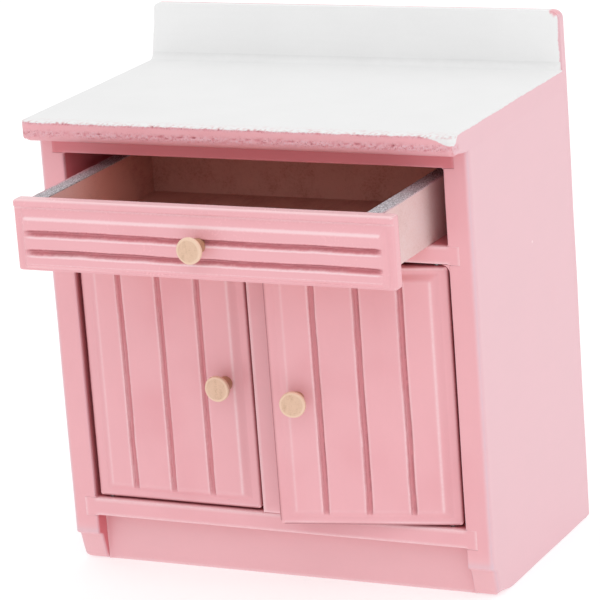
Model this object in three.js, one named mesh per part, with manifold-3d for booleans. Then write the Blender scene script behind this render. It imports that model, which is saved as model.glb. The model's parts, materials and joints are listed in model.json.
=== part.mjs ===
// A 1:12 doll's-house kitchen base cabinet in painted wood: a carcass with one drawer over two doors,
// a worktop, and a back board whose top end stands up behind the worktop as the backsplash.
// Millimetres. +Z is up, the front faces -Y, and the origin is at the centre of the model's footprint
// box with the drawer pulled out, on the floor. The right door is ajar and the drawer is out at rest.
import * as THREE from 'three';
import { mergeVertices } from 'three/addons/utils/BufferGeometryUtils.js';
import Module from 'manifold-3d';

const wasm = await Module();
wasm.setup();

// Driving dimensions of the carcass.
const WIDTH = 78;
const SIDE_T = 4.5;               // thickness of a side panel
const CARCASS_H = 76.2;           // floor to the underside of the worktop
const DEPTH = 43.8;               // front edges of the sides to the outside of the back board
const BACK_T = 1.8;
const BACK_H = 89.9;              // the back board runs past the worktop as the backsplash
const BACK_CORNER_R = 1.6;
const WORKTOP_T = 3.7;
const WORKTOP_OVERHANG = 5.5;
const WORKTOP_NOSE_R = 1.7;       // lower front edge of the worktop
const WORKTOP_ARRIS = 0.4;        // upper front edge of the worktop
const FLOOR_Z = [8.9, 12.2];      // underside and top of the cupboard floor
const SHELF_Z = [57.2, 60.3];     // underside and top of the board that carries the drawer
const RAIL_Z = [73.2, CARCASS_H];
const RAIL_D = 6;
const STILE_W = 4.3;
const STILE_D = 4;
const DADO_DEPTH = 2;
const GLUE_GAP = 0.05;            // glue line round a board's end in its dado

// The foot of each side: a small step back at the front edge, then a slope down to the floor.
const FOOT_Z = 5.7;
const FOOT_STEP = 1.2;
const FOOT_STEP_DROP = 0.9;
const FOOT_BACK = 2.6;
const FOOT_R = 1.2;
const TOE_KICK_SETBACK = 3.2;
const TOE_KICK_T = 3;

// Drawer, as pulled out at rest.
const DRAWER_OUT = 16.5;          // back of the drawer front to the front edges of the sides
const DRAWER_FRONT = { w: 67.7, h: 12.05, t: 3 };
const DRAWER_LIP = 2.25;          // the front reaches this far below the drawer box
const BOX_W = 62.6;
const BOX_DEPTH = 39;
const BOX_H = 9.8;
const BOX_WALL = 2.8;
const BOX_FLOOR_T = 1.5;
const SLIDE_GAP = 0.05;           // under the drawer box

// Doors: inset, flush with the carcass, each hung on a steel pin at its top and bottom.
const DOOR = { w: 31, h: 44.2, t: 3 };
const DOOR_LIFT = 0.35;           // over the cupboard floor
const DOOR_SIDE_GAP = 0.75;       // hinge edge to side panel
const PIVOT_IN = 2;               // pin centre to the door's hinge edge
const AJAR_DEG = 12.3;            // the right door at rest
const PIN_R = 0.4;
const PIN_IN_DOOR = 2.2;
const PIN_IN_BOARD = 1.6;
const PIN_RUNNING = 0.08;         // radial clearance of a pin in its board
const PIN_PRESS_GAP = 0.03;       // modelled gap where a pin is driven into its door
const PIN_HOLE_SPARE = 0.2;       // a pin's hole is this much deeper than its pin

// Mouldings on the drawer front and the doors: a field raised over a border, with stopped grooves.
const FIELD_RISE = 0.55;
const FIELD_SLOPE = 0.5;
const GROOVE_W = 0.9;
const GROOVE_DEPTH = 0.8;
const DOOR_BORDER = 1.3;
const DOOR_GROOVE_PITCH = 7.35;
const DOOR_GROOVE_SHIFT = 0.6;    // the left door's grooves sit nearer its hinge
const DOOR_GROOVE_STOP = 1.8;
const DRAWER_BORDER = { side: 1.3, top: 2.2, bottom: 0.5 };
const DRAWER_GROOVE_Z = [3.2, 6.4]; // over the bottom edge of the drawer front
const DRAWER_GROOVE_STOP = 2.4;

// Knobs: a thin turned disc that flares out of a neck, with a peg glued into the board.
const KNOB_R = 2.2;
const KNOB_NECK_R = 1.25;
const KNOB_REACH = 3.7;
const KNOB_RIM_T = 0.8;           // thickness of the disc at its rim
const KNOB_FACE_ROUND = 0.3;      // rounding of the rim at the face
const KNOB_FLARE_L = 1.4;         // along the axis, from the back of the rim to the straight neck
const KNOB_FLARE_R = 1.55;        // radius at which the flare bends most
const KNOB_PEG_R = 0.9;
const KNOB_PEG_L = 1.6;
const KNOB_GAP = 0.05;            // glue round the peg and under the neck
const KNOB_FROM_FREE_EDGE = 4.6;

const CUT_PAST = 1;               // a cutter starts this far outside the face it opens
const ROUND_SIDES = 24;           // round a knob, a pin or a hole
const OUTLINE_SEGMENTS = 6;       // along each curve of an outline

// Places that follow from the sizes.
const HALF = WIDTH / 2;
const INNER = HALF - SIDE_T;
const KNOB_FACE = DRAWER_OUT + DRAWER_FRONT.t + KNOB_REACH;
const FRONT_Y = (KNOB_FACE - DEPTH) / 2;          // front edges of the sides
const BACK_Y = FRONT_Y + DEPTH;
const BOARD_BACK_Y = BACK_Y - BACK_T;             // inside face of the back board
const DOOR_BOTTOM = FLOOR_Z[1] + DOOR_LIFT;
const DOOR_TOP = DOOR_BOTTOM + DOOR.h;
const PIVOT_X = INNER - DOOR_SIDE_GAP - PIVOT_IN;
const PIVOT_Y = FRONT_Y + DOOR.t / 2;
const BOX_Z = SHELF_Z[1] + SLIDE_GAP;
const BOX_FRONT_Y = FRONT_Y - DRAWER_OUT;

const PINK = 0xecb0b6;
const WHITE = 0xeeeeee;
const BARE = 0xb98a6a;
const BIRCH = 0xe8d0a8;
const STEEL = 0xb0b2b5;

const paint = (color) => new THREE.MeshStandardMaterial({ color, roughness: 0.55, metalness: 0 });
const bareWood = (color) => new THREE.MeshStandardMaterial({ color, roughness: 0.75, metalness: 0 });
const steel = () => new THREE.MeshStandardMaterial({ color: STEEL, roughness: 0.35, metalness: 1 });

// ---- shapes -------------------------------------------------------------------------------------

function boxGeometry(x, y, z) {
  const geometry = new THREE.BoxGeometry(x[1] - x[0], y[1] - y[0], z[1] - z[0]);
  geometry.translate((x[0] + x[1]) / 2, (y[0] + y[1]) / 2, (z[0] + z[1]) / 2);
  return geometry;
}

function shapeOf(points) {
  return new THREE.Shape(points.map(([u, v]) => new THREE.Vector2(u, v)));
}

function extruded(shape, depth) {
  return new THREE.ExtrudeGeometry(shape, { depth, bevelEnabled: false, curveSegments: OUTLINE_SEGMENTS });
}

// A profile drawn as (y, z) and run along X from x0 to x1.
function alongX(shape, x0, x1) {
  const geometry = extruded(shape, x1 - x0);
  const axes = new THREE.Matrix4().makeBasis(
    new THREE.Vector3(0, 1, 0), new THREE.Vector3(0, 0, 1), new THREE.Vector3(1, 0, 0));
  geometry.applyMatrix4(axes);
  geometry.translate(x0, 0, 0);
  return geometry;
}

// A profile drawn as (x, z) and run along -Y from y1 back to y0.
function alongY(shape, y0, y1) {
  const geometry = extruded(shape, y1 - y0);
  geometry.rotateX(Math.PI / 2);
  geometry.translate(0, y1, 0);
  return geometry;
}

// A profile drawn as (x, y) and run along Z from z0 to z1.
function alongZ(shape, z0, z1) {
  const geometry = extruded(shape, z1 - z0);
  geometry.translate(0, 0, z0);
  return geometry;
}

function uprightCylinder(x, y, z0, z1, radius) {
  const geometry = new THREE.CylinderGeometry(radius, radius, z1 - z0, ROUND_SIDES);
  geometry.rotateX(Math.PI / 2);
  geometry.translate(x, y, (z0 + z1) / 2);
  return geometry;
}

// A cylinder along Y, from y0 back to y1.
function deepCylinder(x, z, y0, y1, radius) {
  const geometry = new THREE.CylinderGeometry(radius, radius, y1 - y0, ROUND_SIDES);
  geometry.translate(x, (y0 + y1) / 2, z);
  return geometry;
}

// ---- joining and cutting ------------------------------------------------------------------------

function solidOf(geometry) {
  const bare = geometry.clone();
  bare.deleteAttribute('normal');
  bare.deleteAttribute('uv');
  const merged = mergeVertices(bare, 1e-5);
  const vertProperties = new Float32Array(merged.attributes.position.array);
  const triVerts = new Uint32Array(merged.index.array);
  return new wasm.Manifold(new wasm.Mesh({ numProp: 3, vertProperties, triVerts }));
}

function geometryOf(solid) {
  const mesh = solid.getMesh();
  const geometry = new THREE.BufferGeometry();
  geometry.setAttribute('position', new THREE.BufferAttribute(new Float32Array(mesh.vertProperties), 3));
  geometry.setIndex(new THREE.BufferAttribute(new Uint32Array(mesh.triVerts), 1));
  geometry.computeVertexNormals();
  return geometry;
}

function cut(geometry, cutters) {
  let solid = solidOf(geometry);
  for (const cutter of cutters) {
    solid = solid.subtract(solidOf(cutter));
  }
  return geometryOf(solid);
}

function piece(name, geometry, material) {
  const mesh = new THREE.Mesh(geometry, material);
  mesh.name = name;
  return mesh;
}

// ---- carcass ------------------------------------------------------------------------------------

// The outline of a side seen from its end, front at the left: (y, z).
function sideOutline() {
  const front = FRONT_Y;
  const shape = new THREE.Shape();
  shape.moveTo(BOARD_BACK_Y, 0);
  shape.lineTo(BOARD_BACK_Y, CARCASS_H);
  shape.lineTo(front, CARCASS_H);
  shape.lineTo(front, FOOT_Z);
  shape.lineTo(front + FOOT_STEP, FOOT_Z - FOOT_STEP_DROP);
  shape.lineTo(front + FOOT_BACK, FOOT_R);
  shape.quadraticCurveTo(front + FOOT_BACK, 0, front + FOOT_BACK + FOOT_R, 0);
  shape.closePath();
  return shape;
}

// side is -1 for the left panel and 1 for the right one.
function sidePanel(name, side) {
  const x0 = side < 0 ? -HALF : INNER;
  const panel = alongX(sideOutline(), x0, x0 + SIDE_T);
  const dado = [side * (INNER - CUT_PAST), side * (INNER + DADO_DEPTH)].sort((a, b) => a - b);
  const open = FRONT_Y - CUT_PAST;
  const dados = [FLOOR_Z, SHELF_Z].map(([low, high]) =>
    boxGeometry(dado, [open, BACK_Y], [low - GLUE_GAP, high + GLUE_GAP]));
  dados.push(boxGeometry(dado, [open, FRONT_Y + RAIL_D + GLUE_GAP],
    [RAIL_Z[0] - GLUE_GAP, RAIL_Z[1] + CUT_PAST]));
  return piece(name, cut(panel, dados), paint(PINK));
}

// A board whose ends sit in the sides' dados.
function dadoedBoard(name, y, z, cutters) {
  const reach = INNER + DADO_DEPTH - GLUE_GAP;
  const board = boxGeometry([-reach, reach], y, z);
  return piece(name, cutters.length ? cut(board, cutters) : board, paint(PINK));
}

// Holes for the two doors' pins, sunk into a board from its face at z: up where into is 1, down at -1.
function pinHoles(z, into) {
  const [z0, z1] = [z - into * CUT_PAST, z + into * (PIN_IN_BOARD + PIN_HOLE_SPARE)].sort((a, b) => a - b);
  return [-1, 1].map((side) =>
    uprightCylinder(side * PIVOT_X, PIVOT_Y, z0, z1, PIN_R + PIN_RUNNING));
}

function worktopOutline() {
  const nose = FRONT_Y - WORKTOP_OVERHANG;
  const top = CARCASS_H + WORKTOP_T;
  const shape = new THREE.Shape();
  shape.moveTo(BOARD_BACK_Y, CARCASS_H);
  shape.lineTo(BOARD_BACK_Y, top);
  shape.lineTo(nose + WORKTOP_ARRIS, top);
  shape.lineTo(nose, top - WORKTOP_ARRIS);
  shape.lineTo(nose, CARCASS_H + WORKTOP_NOSE_R);
  const r = WORKTOP_NOSE_R;
  shape.absarc(nose + r, CARCASS_H + r, r, Math.PI, Math.PI * 1.5, false);
  shape.closePath();
  return shape;
}

function backOutline() {
  const r = BACK_CORNER_R;
  const shape = new THREE.Shape();
  shape.moveTo(-HALF, 0);
  shape.lineTo(HALF, 0);
  shape.lineTo(HALF, BACK_H - r);
  shape.absarc(HALF - r, BACK_H - r, r, 0, Math.PI / 2, false);
  shape.lineTo(-HALF + r, BACK_H);
  shape.absarc(-HALF + r, BACK_H - r, r, Math.PI / 2, Math.PI, false);
  shape.closePath();
  return shape;
}

function carcass() {
  const group = new THREE.Group();
  const deep = [FRONT_Y, BOARD_BACK_Y];
  const stileX = [-STILE_W / 2, STILE_W / 2];
  const stileY = [FRONT_Y, FRONT_Y + STILE_D];
  const toeY = [FRONT_Y + TOE_KICK_SETBACK, FRONT_Y + TOE_KICK_SETBACK + TOE_KICK_T];
  group.add(sidePanel('left_side_panel', -1));
  group.add(sidePanel('right_side_panel', 1));
  group.add(piece('back_panel', alongY(backOutline(), BOARD_BACK_Y, BACK_Y), paint(PINK)));
  group.add(piece('worktop', alongX(worktopOutline(), -HALF, HALF), paint(WHITE)));
  group.add(dadoedBoard('bottom_board', deep, FLOOR_Z, pinHoles(FLOOR_Z[1], -1)));
  group.add(dadoedBoard('drawer_shelf', deep, SHELF_Z, pinHoles(SHELF_Z[0], 1)));
  group.add(dadoedBoard('top_rail', [FRONT_Y, FRONT_Y + RAIL_D], RAIL_Z, []));
  group.add(piece('centre_stile', boxGeometry(stileX, stileY, [FLOOR_Z[1], SHELF_Z[0]]), paint(PINK)));
  group.add(piece('toe_kick_board', boxGeometry([-INNER, INNER], toeY, [0, FLOOR_Z[0]]), paint(PINK)));
  return group;
}

// ---- boards with a raised field -----------------------------------------------------------------

// The section of a board from its edge at low to its edge at high, as (across, depth). Depth runs back
// from the top of the raised field, so the borders lie at FIELD_RISE.
function fieldSection(low, high, t, lowBorder, highBorder) {
  return [
    [low, t], [low, FIELD_RISE], [low + lowBorder, FIELD_RISE], [low + lowBorder + FIELD_SLOPE, 0],
    [high - highBorder - FIELD_SLOPE, 0], [high - highBorder, FIELD_RISE], [high, FIELD_RISE], [high, t],
  ];
}

// A board with its front face at y = 0 and its raised field's corners mitred: two runs that cross.
function fieldedBoard(x, z, t, border) {
  const across = fieldSection(x[0], x[1], t, border.side, border.side);
  const upright = fieldSection(z[0], z[1], t, border.bottom, border.top);
  const run = alongZ(shapeOf(across), z[0], z[1]);
  const rise = alongX(shapeOf(upright.map(([v, depth]) => [depth, v])), x[0], x[1]);
  return geometryOf(solidOf(run).intersect(solidOf(rise)));
}

// ---- knob ---------------------------------------------------------------------------------------

// A turned knob that stands on a board's front face at y = 0 and points to -Y.
function knob(name, x, z) {
  const face = -KNOB_REACH;
  const rimBack = face + KNOB_RIM_T;
  const faceR = KNOB_FACE_ROUND;
  const profile = new THREE.Path();
  profile.moveTo(0, face);
  profile.lineTo(KNOB_R - faceR, face);
  profile.absarc(KNOB_R - faceR, face + faceR, faceR, -Math.PI / 2, 0, false);
  profile.lineTo(KNOB_R, rimBack);
  profile.quadraticCurveTo(KNOB_FLARE_R, rimBack, KNOB_NECK_R, rimBack + KNOB_FLARE_L);
  profile.lineTo(KNOB_NECK_R, -KNOB_GAP);
  profile.lineTo(KNOB_PEG_R, -KNOB_GAP);
  profile.lineTo(KNOB_PEG_R, KNOB_PEG_L);
  profile.lineTo(0, KNOB_PEG_L);
  const geometry = new THREE.LatheGeometry(profile.getPoints(OUTLINE_SEGMENTS / 2), ROUND_SIDES);
  geometry.translate(x, 0, z);
  return piece(name, geometry, bareWood(BIRCH));
}

function knobHole(x, z) {
  return deepCylinder(x, z, -CUT_PAST, KNOB_PEG_L + KNOB_GAP, KNOB_PEG_R + KNOB_GAP);
}

// ---- drawer -------------------------------------------------------------------------------------

function drawerFront() {
  const { w, h, t } = DRAWER_FRONT;
  const z0 = BOX_Z - DRAWER_LIP;
  const board = fieldedBoard([-w / 2, w / 2], [z0, z0 + h], t, DRAWER_BORDER);
  const reach = w / 2 - DRAWER_GROOVE_STOP;
  const cutters = DRAWER_GROOVE_Z.map((z) =>
    boxGeometry([-reach, reach], [-CUT_PAST, GROOVE_DEPTH], [z0 + z - GROOVE_W / 2, z0 + z + GROOVE_W / 2]));
  cutters.push(knobHole(0, z0 + h / 2));
  return piece('drawer_front', cut(board, cutters), paint(PINK));
}

function drawer() {
  const group = new THREE.Group();
  const front = new THREE.Group();
  front.position.set(0, BOX_FRONT_Y - DRAWER_FRONT.t, 0);
  front.add(drawerFront());
  front.add(knob('drawer_knob', 0, BOX_Z - DRAWER_LIP + DRAWER_FRONT.h / 2));
  group.add(front);

  const half = BOX_W / 2;
  const z = [BOX_Z, BOX_Z + BOX_H];
  const y = [BOX_FRONT_Y, BOX_FRONT_Y + BOX_DEPTH];
  const inside = half - BOX_WALL;
  group.add(piece('drawer_left_side', boxGeometry([-half, -inside], y, z), bareWood(BARE)));
  group.add(piece('drawer_right_side', boxGeometry([inside, half], y, z), bareWood(BARE)));
  group.add(piece('drawer_back', boxGeometry([-inside, inside], [y[1] - BOX_WALL, y[1]], z), bareWood(BARE)));
  group.add(piece('drawer_bottom',
    boxGeometry([-inside, inside], [y[0], y[1] - BOX_WALL], [z[0], z[0] + BOX_FLOOR_T]), bareWood(BARE)));
  return group;
}

// ---- doors --------------------------------------------------------------------------------------

// A door in its own frame: hinge pins on the Z axis, front face towards -Y, width towards `away`.
function door(name, away, grooveShift) {
  const group = new THREE.Group();
  const hingeEdge = -away * PIVOT_IN;
  const freeEdge = hingeEdge + away * DOOR.w;
  const x = [Math.min(hingeEdge, freeEdge), Math.max(hingeEdge, freeEdge)];
  const z = [DOOR_BOTTOM, DOOR_TOP];
  const border = { side: DOOR_BORDER, top: DOOR_BORDER, bottom: DOOR_BORDER };
  const board = fieldedBoard(x, z, DOOR.t, border);

  const middle = (hingeEdge + freeEdge) / 2 - away * grooveShift;
  const cutters = [-1, 0, 1].map((step) => {
    const at = middle + step * DOOR_GROOVE_PITCH;
    return boxGeometry([at - GROOVE_W / 2, at + GROOVE_W / 2], [-CUT_PAST, GROOVE_DEPTH],
      [z[0] + DOOR_GROOVE_STOP, z[1] - DOOR_GROOVE_STOP]);
  });
  const knobX = freeEdge - away * KNOB_FROM_FREE_EDGE;
  const knobZ = (z[0] + z[1]) / 2;
  const pinBore = PIN_R + PIN_PRESS_GAP;
  const boreDepth = PIN_IN_DOOR + PIN_PRESS_GAP;
  cutters.push(knobHole(knobX, knobZ));
  cutters.push(uprightCylinder(0, DOOR.t / 2, z[0] - CUT_PAST, z[0] + boreDepth, pinBore));
  cutters.push(uprightCylinder(0, DOOR.t / 2, z[1] - boreDepth, z[1] + CUT_PAST, pinBore));

  const leaf = new THREE.Group();
  leaf.position.set(0, -DOOR.t / 2, 0);
  leaf.add(piece(name, cut(board, cutters), paint(PINK)));
  leaf.add(knob(`${name}_knob`, knobX, knobZ));
  group.add(leaf);

  const bottomPin = uprightCylinder(0, 0, FLOOR_Z[1] - PIN_IN_BOARD, z[0] + PIN_IN_DOOR, PIN_R);
  const topPin = uprightCylinder(0, 0, z[1] - PIN_IN_DOOR, SHELF_Z[0] + PIN_IN_BOARD, PIN_R);
  group.add(piece(`${name}_bottom_pin`, bottomPin, steel()));
  group.add(piece(`${name}_top_pin`, topPin, steel()));
  return group;
}

function doors() {
  const group = new THREE.Group();
  const left = door('left_door', 1, DOOR_GROOVE_SHIFT);
  left.position.set(-PIVOT_X, PIVOT_Y, 0);
  const right = door('right_door', -1, 0);
  right.position.set(PIVOT_X, PIVOT_Y, 0);
  right.rotation.z = THREE.MathUtils.degToRad(AJAR_DEG);
  group.add(left, right);
  return group;
}

const cabinet = new THREE.Group();
cabinet.add(carcass(), drawer(), doors());

export default cabinet;
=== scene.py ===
# %% [markdown]
# # A doll's-house kitchen cabinet in painted board
#
# The real cabinet is about as tall as a hand: a carcass of thin boards, a drawer over two doors, a
# worktop and a back board that stands up behind it. The working model already exists as plain solids
# with their joints. This lesson dresses it: every solid gets a finely made piece and a finish.
# We start by loading those solids, because every size and place below is asked from them.

# %% The frame that everything is fitted to
import json
import math

import bmesh
import bpy
import numpy as np
from mathutils import Matrix, Quaternion, Vector


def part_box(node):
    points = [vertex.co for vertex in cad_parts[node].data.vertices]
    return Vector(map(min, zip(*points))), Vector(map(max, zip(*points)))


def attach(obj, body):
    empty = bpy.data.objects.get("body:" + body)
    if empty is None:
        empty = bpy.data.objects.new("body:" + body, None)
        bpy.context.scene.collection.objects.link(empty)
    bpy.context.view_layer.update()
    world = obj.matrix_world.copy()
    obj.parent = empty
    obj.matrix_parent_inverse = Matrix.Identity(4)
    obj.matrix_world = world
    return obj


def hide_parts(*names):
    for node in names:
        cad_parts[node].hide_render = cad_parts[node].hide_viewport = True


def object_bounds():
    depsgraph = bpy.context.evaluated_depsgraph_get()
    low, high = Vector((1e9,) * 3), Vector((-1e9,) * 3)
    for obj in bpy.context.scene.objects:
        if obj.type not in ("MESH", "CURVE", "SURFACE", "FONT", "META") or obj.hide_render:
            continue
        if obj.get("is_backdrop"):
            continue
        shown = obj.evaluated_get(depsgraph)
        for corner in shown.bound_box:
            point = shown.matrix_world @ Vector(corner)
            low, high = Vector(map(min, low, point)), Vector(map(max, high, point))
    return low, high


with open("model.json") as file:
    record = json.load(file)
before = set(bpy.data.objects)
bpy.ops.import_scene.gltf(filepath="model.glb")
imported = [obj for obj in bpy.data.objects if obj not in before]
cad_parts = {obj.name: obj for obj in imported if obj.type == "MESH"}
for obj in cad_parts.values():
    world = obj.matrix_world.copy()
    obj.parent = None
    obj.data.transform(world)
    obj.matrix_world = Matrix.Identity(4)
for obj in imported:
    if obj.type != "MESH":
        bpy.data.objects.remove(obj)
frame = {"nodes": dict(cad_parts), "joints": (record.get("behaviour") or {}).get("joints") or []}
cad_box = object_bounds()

MM = 0.001
hinges = {joint["name"]: joint for joint in frame["joints"]}
print("solids:", len(frame["nodes"]), "joints:", list(hinges))
print("box in mm:", [[round(value / MM, 1) for value in corner] for corner in cad_box])

# %% [markdown]
# ## The camera
#
# A small object looks best from well back through a long lens, which keeps its upright edges almost
# parallel. We say where the camera stands as an azimuth, an elevation and a distance from the point
# it looks at, then turn it a little about its own axis, so that the view is slightly crooked.

# %% Camera
CAMERA_AZIMUTH = math.radians(26.41)
CAMERA_ELEVATION = math.radians(15.82)
CAMERA_ROLL = math.radians(-4.3)
CAMERA_DISTANCE = 582 * MM
CAMERA_FIELD = math.radians(9.897)
AIM_FROM_MIDDLE = Vector((1.19, 2.54, 0.92)) * MM

middle = (cad_box[0] + cad_box[1]) / 2
camera_aim = middle + AIM_FROM_MIDDLE
camera_back = Vector((
    math.sin(CAMERA_AZIMUTH) * math.cos(CAMERA_ELEVATION),
    -math.cos(CAMERA_AZIMUTH) * math.cos(CAMERA_ELEVATION),
    math.sin(CAMERA_ELEVATION),
))
camera = bpy.data.objects.new("studio_camera", bpy.data.cameras.new("studio_camera"))
bpy.context.scene.collection.objects.link(camera)
camera.data.sensor_width = 36
camera.data.angle = CAMERA_FIELD
camera.data.clip_start = 10 * MM
camera.data.clip_end = 10
camera.location = camera_aim + camera_back * CAMERA_DISTANCE
camera.rotation_mode = "QUATERNION"
camera.rotation_quaternion = (-camera_back).to_track_quat("-Z", "Y") @ Quaternion((0, 0, 1), CAMERA_ROLL)
bpy.context.scene.camera = camera
print("camera at", [round(value / MM, 1) for value in camera.location], "mm")

# %% [markdown]
# ## A workbench for node trees
#
# Materials and Geometry Nodes are both graphs of nodes, and building them click by click, or line by
# line, hides what they compute. So we make two small classes. `Wire` is one value on its way through
# the graph: writing `1 - wire * 2` adds the Math nodes for us. `Bench` holds one tree and has a single
# way to add any other node: its type, its settings, then the values or wires for its sockets.

# %% Wire and Bench
class Wire:
    """One output socket, with arithmetic that adds Math nodes."""

    def __init__(self, bench, socket):
        self.bench = bench
        self.socket = socket

    def _math(self, operation, *values):
        return self.bench.add("ShaderNodeMath", {"operation": operation}, dict(enumerate(values)))

    def __add__(self, other):
        return self._math("ADD", self, other)

    def __radd__(self, other):
        return self._math("ADD", other, self)

    def __sub__(self, other):
        return self._math("SUBTRACT", self, other)

    def __rsub__(self, other):
        return self._math("SUBTRACT", other, self)

    def __mul__(self, other):
        return self._math("MULTIPLY", self, other)

    def __rmul__(self, other):
        return self._math("MULTIPLY", other, self)

    def __truediv__(self, other):
        return self._math("DIVIDE", self, other)

    def __neg__(self):
        return self._math("MULTIPLY", self, -1.0)

    def __abs__(self):
        return self._math("ABSOLUTE", self)

    def __round__(self):
        return self._math("ROUND", self)

    def root(self):
        return self._math("SQRT", self)

    def exp(self):
        return self._math("EXPONENT", self)

    def least(self, other):
        return self._math("MINIMUM", self, other)

    def most(self, other):
        return self._math("MAXIMUM", self, other)

    def between(self, low, high):
        return self.most(low).least(high)

    def rise(self, start, end):
        """0 before start, 1 after end, and a smooth step from one to the other."""
        sockets = {"Value": self, "From Min": start, "From Max": end, "To Min": 0.0, "To Max": 1.0}
        return self.bench.add("ShaderNodeMapRange", {"interpolation_type": "SMOOTHSTEP"}, sockets)

    def hump(self, centre, width):
        """1 at centre, falling away to both sides within about twice the width."""
        away = (self - centre) / width
        return (-(away * away)).exp()


class Bench:
    """One node tree, and one way to add a node to it."""

    def __init__(self, tree):
        self.tree = tree

    def add(self, kind, settings=None, sockets=None, output=0):
        node = self.tree.nodes.new(kind)
        for setting, value in (settings or {}).items():
            setattr(node, setting, value)
        for key, value in (sockets or {}).items():
            if isinstance(value, Wire):
                self.tree.links.new(value.socket, node.inputs[key])
            else:
                node.inputs[key].default_value = value
        return Wire(self, node.outputs[output]) if len(node.outputs) else node

    def split(self, vector):
        first = self.add("ShaderNodeSeparateXYZ", sockets={0: vector})
        return [Wire(self, output) for output in first.socket.node.outputs]

    def join(self, x, y, z):
        return self.add("ShaderNodeCombineXYZ", sockets={0: x, 1: y, 2: z})

    def noise(self, where, size, detail=2.0, roughness=0.5, seed=0.0):
        """Soft random values round 0.5, with lumps of about the given size."""
        sockets = {"Vector": where, "W": seed, "Scale": 1 / size, "Detail": detail, "Roughness": roughness}
        return self.add("ShaderNodeTexNoise", {"noise_dimensions": "4D"}, sockets)

    def blend(self, first, second, factor):
        """A colour between two colours."""
        sockets = {0: factor, 6: first, 7: second}
        return self.add("ShaderNodeMix", {"data_type": "RGBA"}, sockets, output=2)

    def scale(self, vector, amount):
        """A vector or a colour times a number."""
        return self.add("ShaderNodeVectorMath", {"operation": "SCALE"}, {"Vector": vector, "Scale": amount})

    def stretch(self, vector, factors):
        return self.add("ShaderNodeVectorMath", {"operation": "MULTIPLY"}, {0: vector, 1: factors})


print("bench ready")

# %% [markdown]
# ## The paint and the bare materials
#
# Colours are chosen as screen values, 0 to 255, but a shader works in linear light, so each one is
# converted once. All the finishes below are procedural: they read the position on the board, in
# metres, and small float attributes that the meshes carry. `arris` is 1 along an edge where the paint
# was rubbed thin, and on the grooved boards it also marks painted highlights. Another attribute is 1
# at the bottom of a groove or a pit, where the coat takes a painted shade. Several colours below are
# painted light and shade: a painted sheen, painted highlights, painted light from the floor, and
# painted shade and shadow.

# %% Colours
def linear(red, green, blue):
    """A screen colour as the linear colour that shaders use."""
    channels = [value / 255 for value in (red, green, blue)]
    return (*[c / 12.92 if c <= 0.04045 else ((c + 0.055) / 1.055) ** 2.4 for c in channels], 1.0)


PINK = linear(237, 175, 182)
PINK_DEEP = linear(230, 160, 168)
# paint rubbed thin, and the colour of painted highlights
PINK_THIN_AND_HIGHLIT = linear(250, 217, 221)
# paler pink: a painted sheen on outside faces, and the pink that crept onto the drawer's sawn edges
PINK_PALE_AND_SHEEN = linear(233, 187, 195)
# painted shade for faces inside the carcass
PINK_INSIDE_SHADE = linear(216, 122, 130)
# painted shade for the bottoms of grooves and pits
PINK_RECESS_SHADE = linear(214, 128, 137)
# painted shade for the doors' edges
PINK_GAP_SHADE = linear(172, 104, 110)
# dark pits, and a painted shadow in the grooves' creases
PINK_PIT_AND_SHADOW = linear(150, 78, 84)
# painted light from the floor, on the toe kick and the feet
PINK_FLOOR_LIT = linear(238, 184, 190)
# painted highlight on the top of the drawer front
PINK_TOP_LIT = linear(244, 202, 206)
# lilac: specks on the worktop edge, rubbed arrises, and a painted highlight on the sides' front arrises
LILAC = linear(222, 192, 203)
WHITE = linear(236, 236, 236)
# painted light: a lighter copy of the white, for the backsplash
WHITE_SPLASH_LIT = linear(242, 242, 242)
FIBRE = linear(232, 174, 158)
FIBRE_DARK = linear(178, 108, 92)
# pink mist on the drawer's outer sides, and painted light inside it near the front left
FIBRE_MIST_AND_LIGHT = linear(232, 206, 206)
SAWN_DARK = linear(98, 88, 92)
SAWN_LIGHT = linear(214, 212, 217)
BIRCH = linear(226, 190, 164)
BIRCH_RIM = linear(236, 203, 178)
BIRCH_DARK = linear(204, 167, 138)
# painted shade for the knobs' necks
BIRCH_NECK_SHADE = linear(188, 142, 112)
STEEL = linear(142, 141, 142)
STEEL_DARK = linear(112, 110, 111)
FLOOR = linear(205, 205, 205)
FLOOR_WORN = linear(201, 201, 201)
print("colours ready")

# %% [markdown]
# A brushed coat of satin paint is never one flat colour. It drifts slowly over a board, shows fine
# brush marks, has a skin like orange peel, and lets the board's fibres show where it is thin. One
# function lays all of that over whatever colour a second function picks for a place, so the pink
# boards, the white worktop and the boards where the two meet share a finish.

# %% A coat of paint
ALONG_X = (0.15, 1, 1)    # a small factor on one axis draws the brush marks out along it
ALONG_Y = (1, 0.15, 1)
ALONG_Z = (1, 1, 0.15)


def new_material(name):
    material = bpy.data.materials.new(name)
    material.use_nodes = True
    material.node_tree.nodes.clear()
    bench = Bench(material.node_tree)
    where = bench.add("ShaderNodeTexCoord", output="Object")
    return material, bench, where


def attribute(bench, name):
    return bench.add("ShaderNodeAttribute", {"attribute_name": name}, output="Fac")


def finish_material(bench, colour, roughness, height, depth, constants=None):
    """Joins a colour, a roughness and a height, whose full swing is depth, to one Principled shader."""
    normal = bench.add("ShaderNodeBump", sockets={"Strength": 1.0, "Distance": depth, "Height": height})
    sockets = {"Base Color": colour, "Roughness": roughness, "Normal": normal, **(constants or {})}
    shader = bench.add("ShaderNodeBsdfPrincipled", sockets=sockets)
    bench.add("ShaderNodeOutputMaterial", sockets={"Surface": shader})


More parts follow.
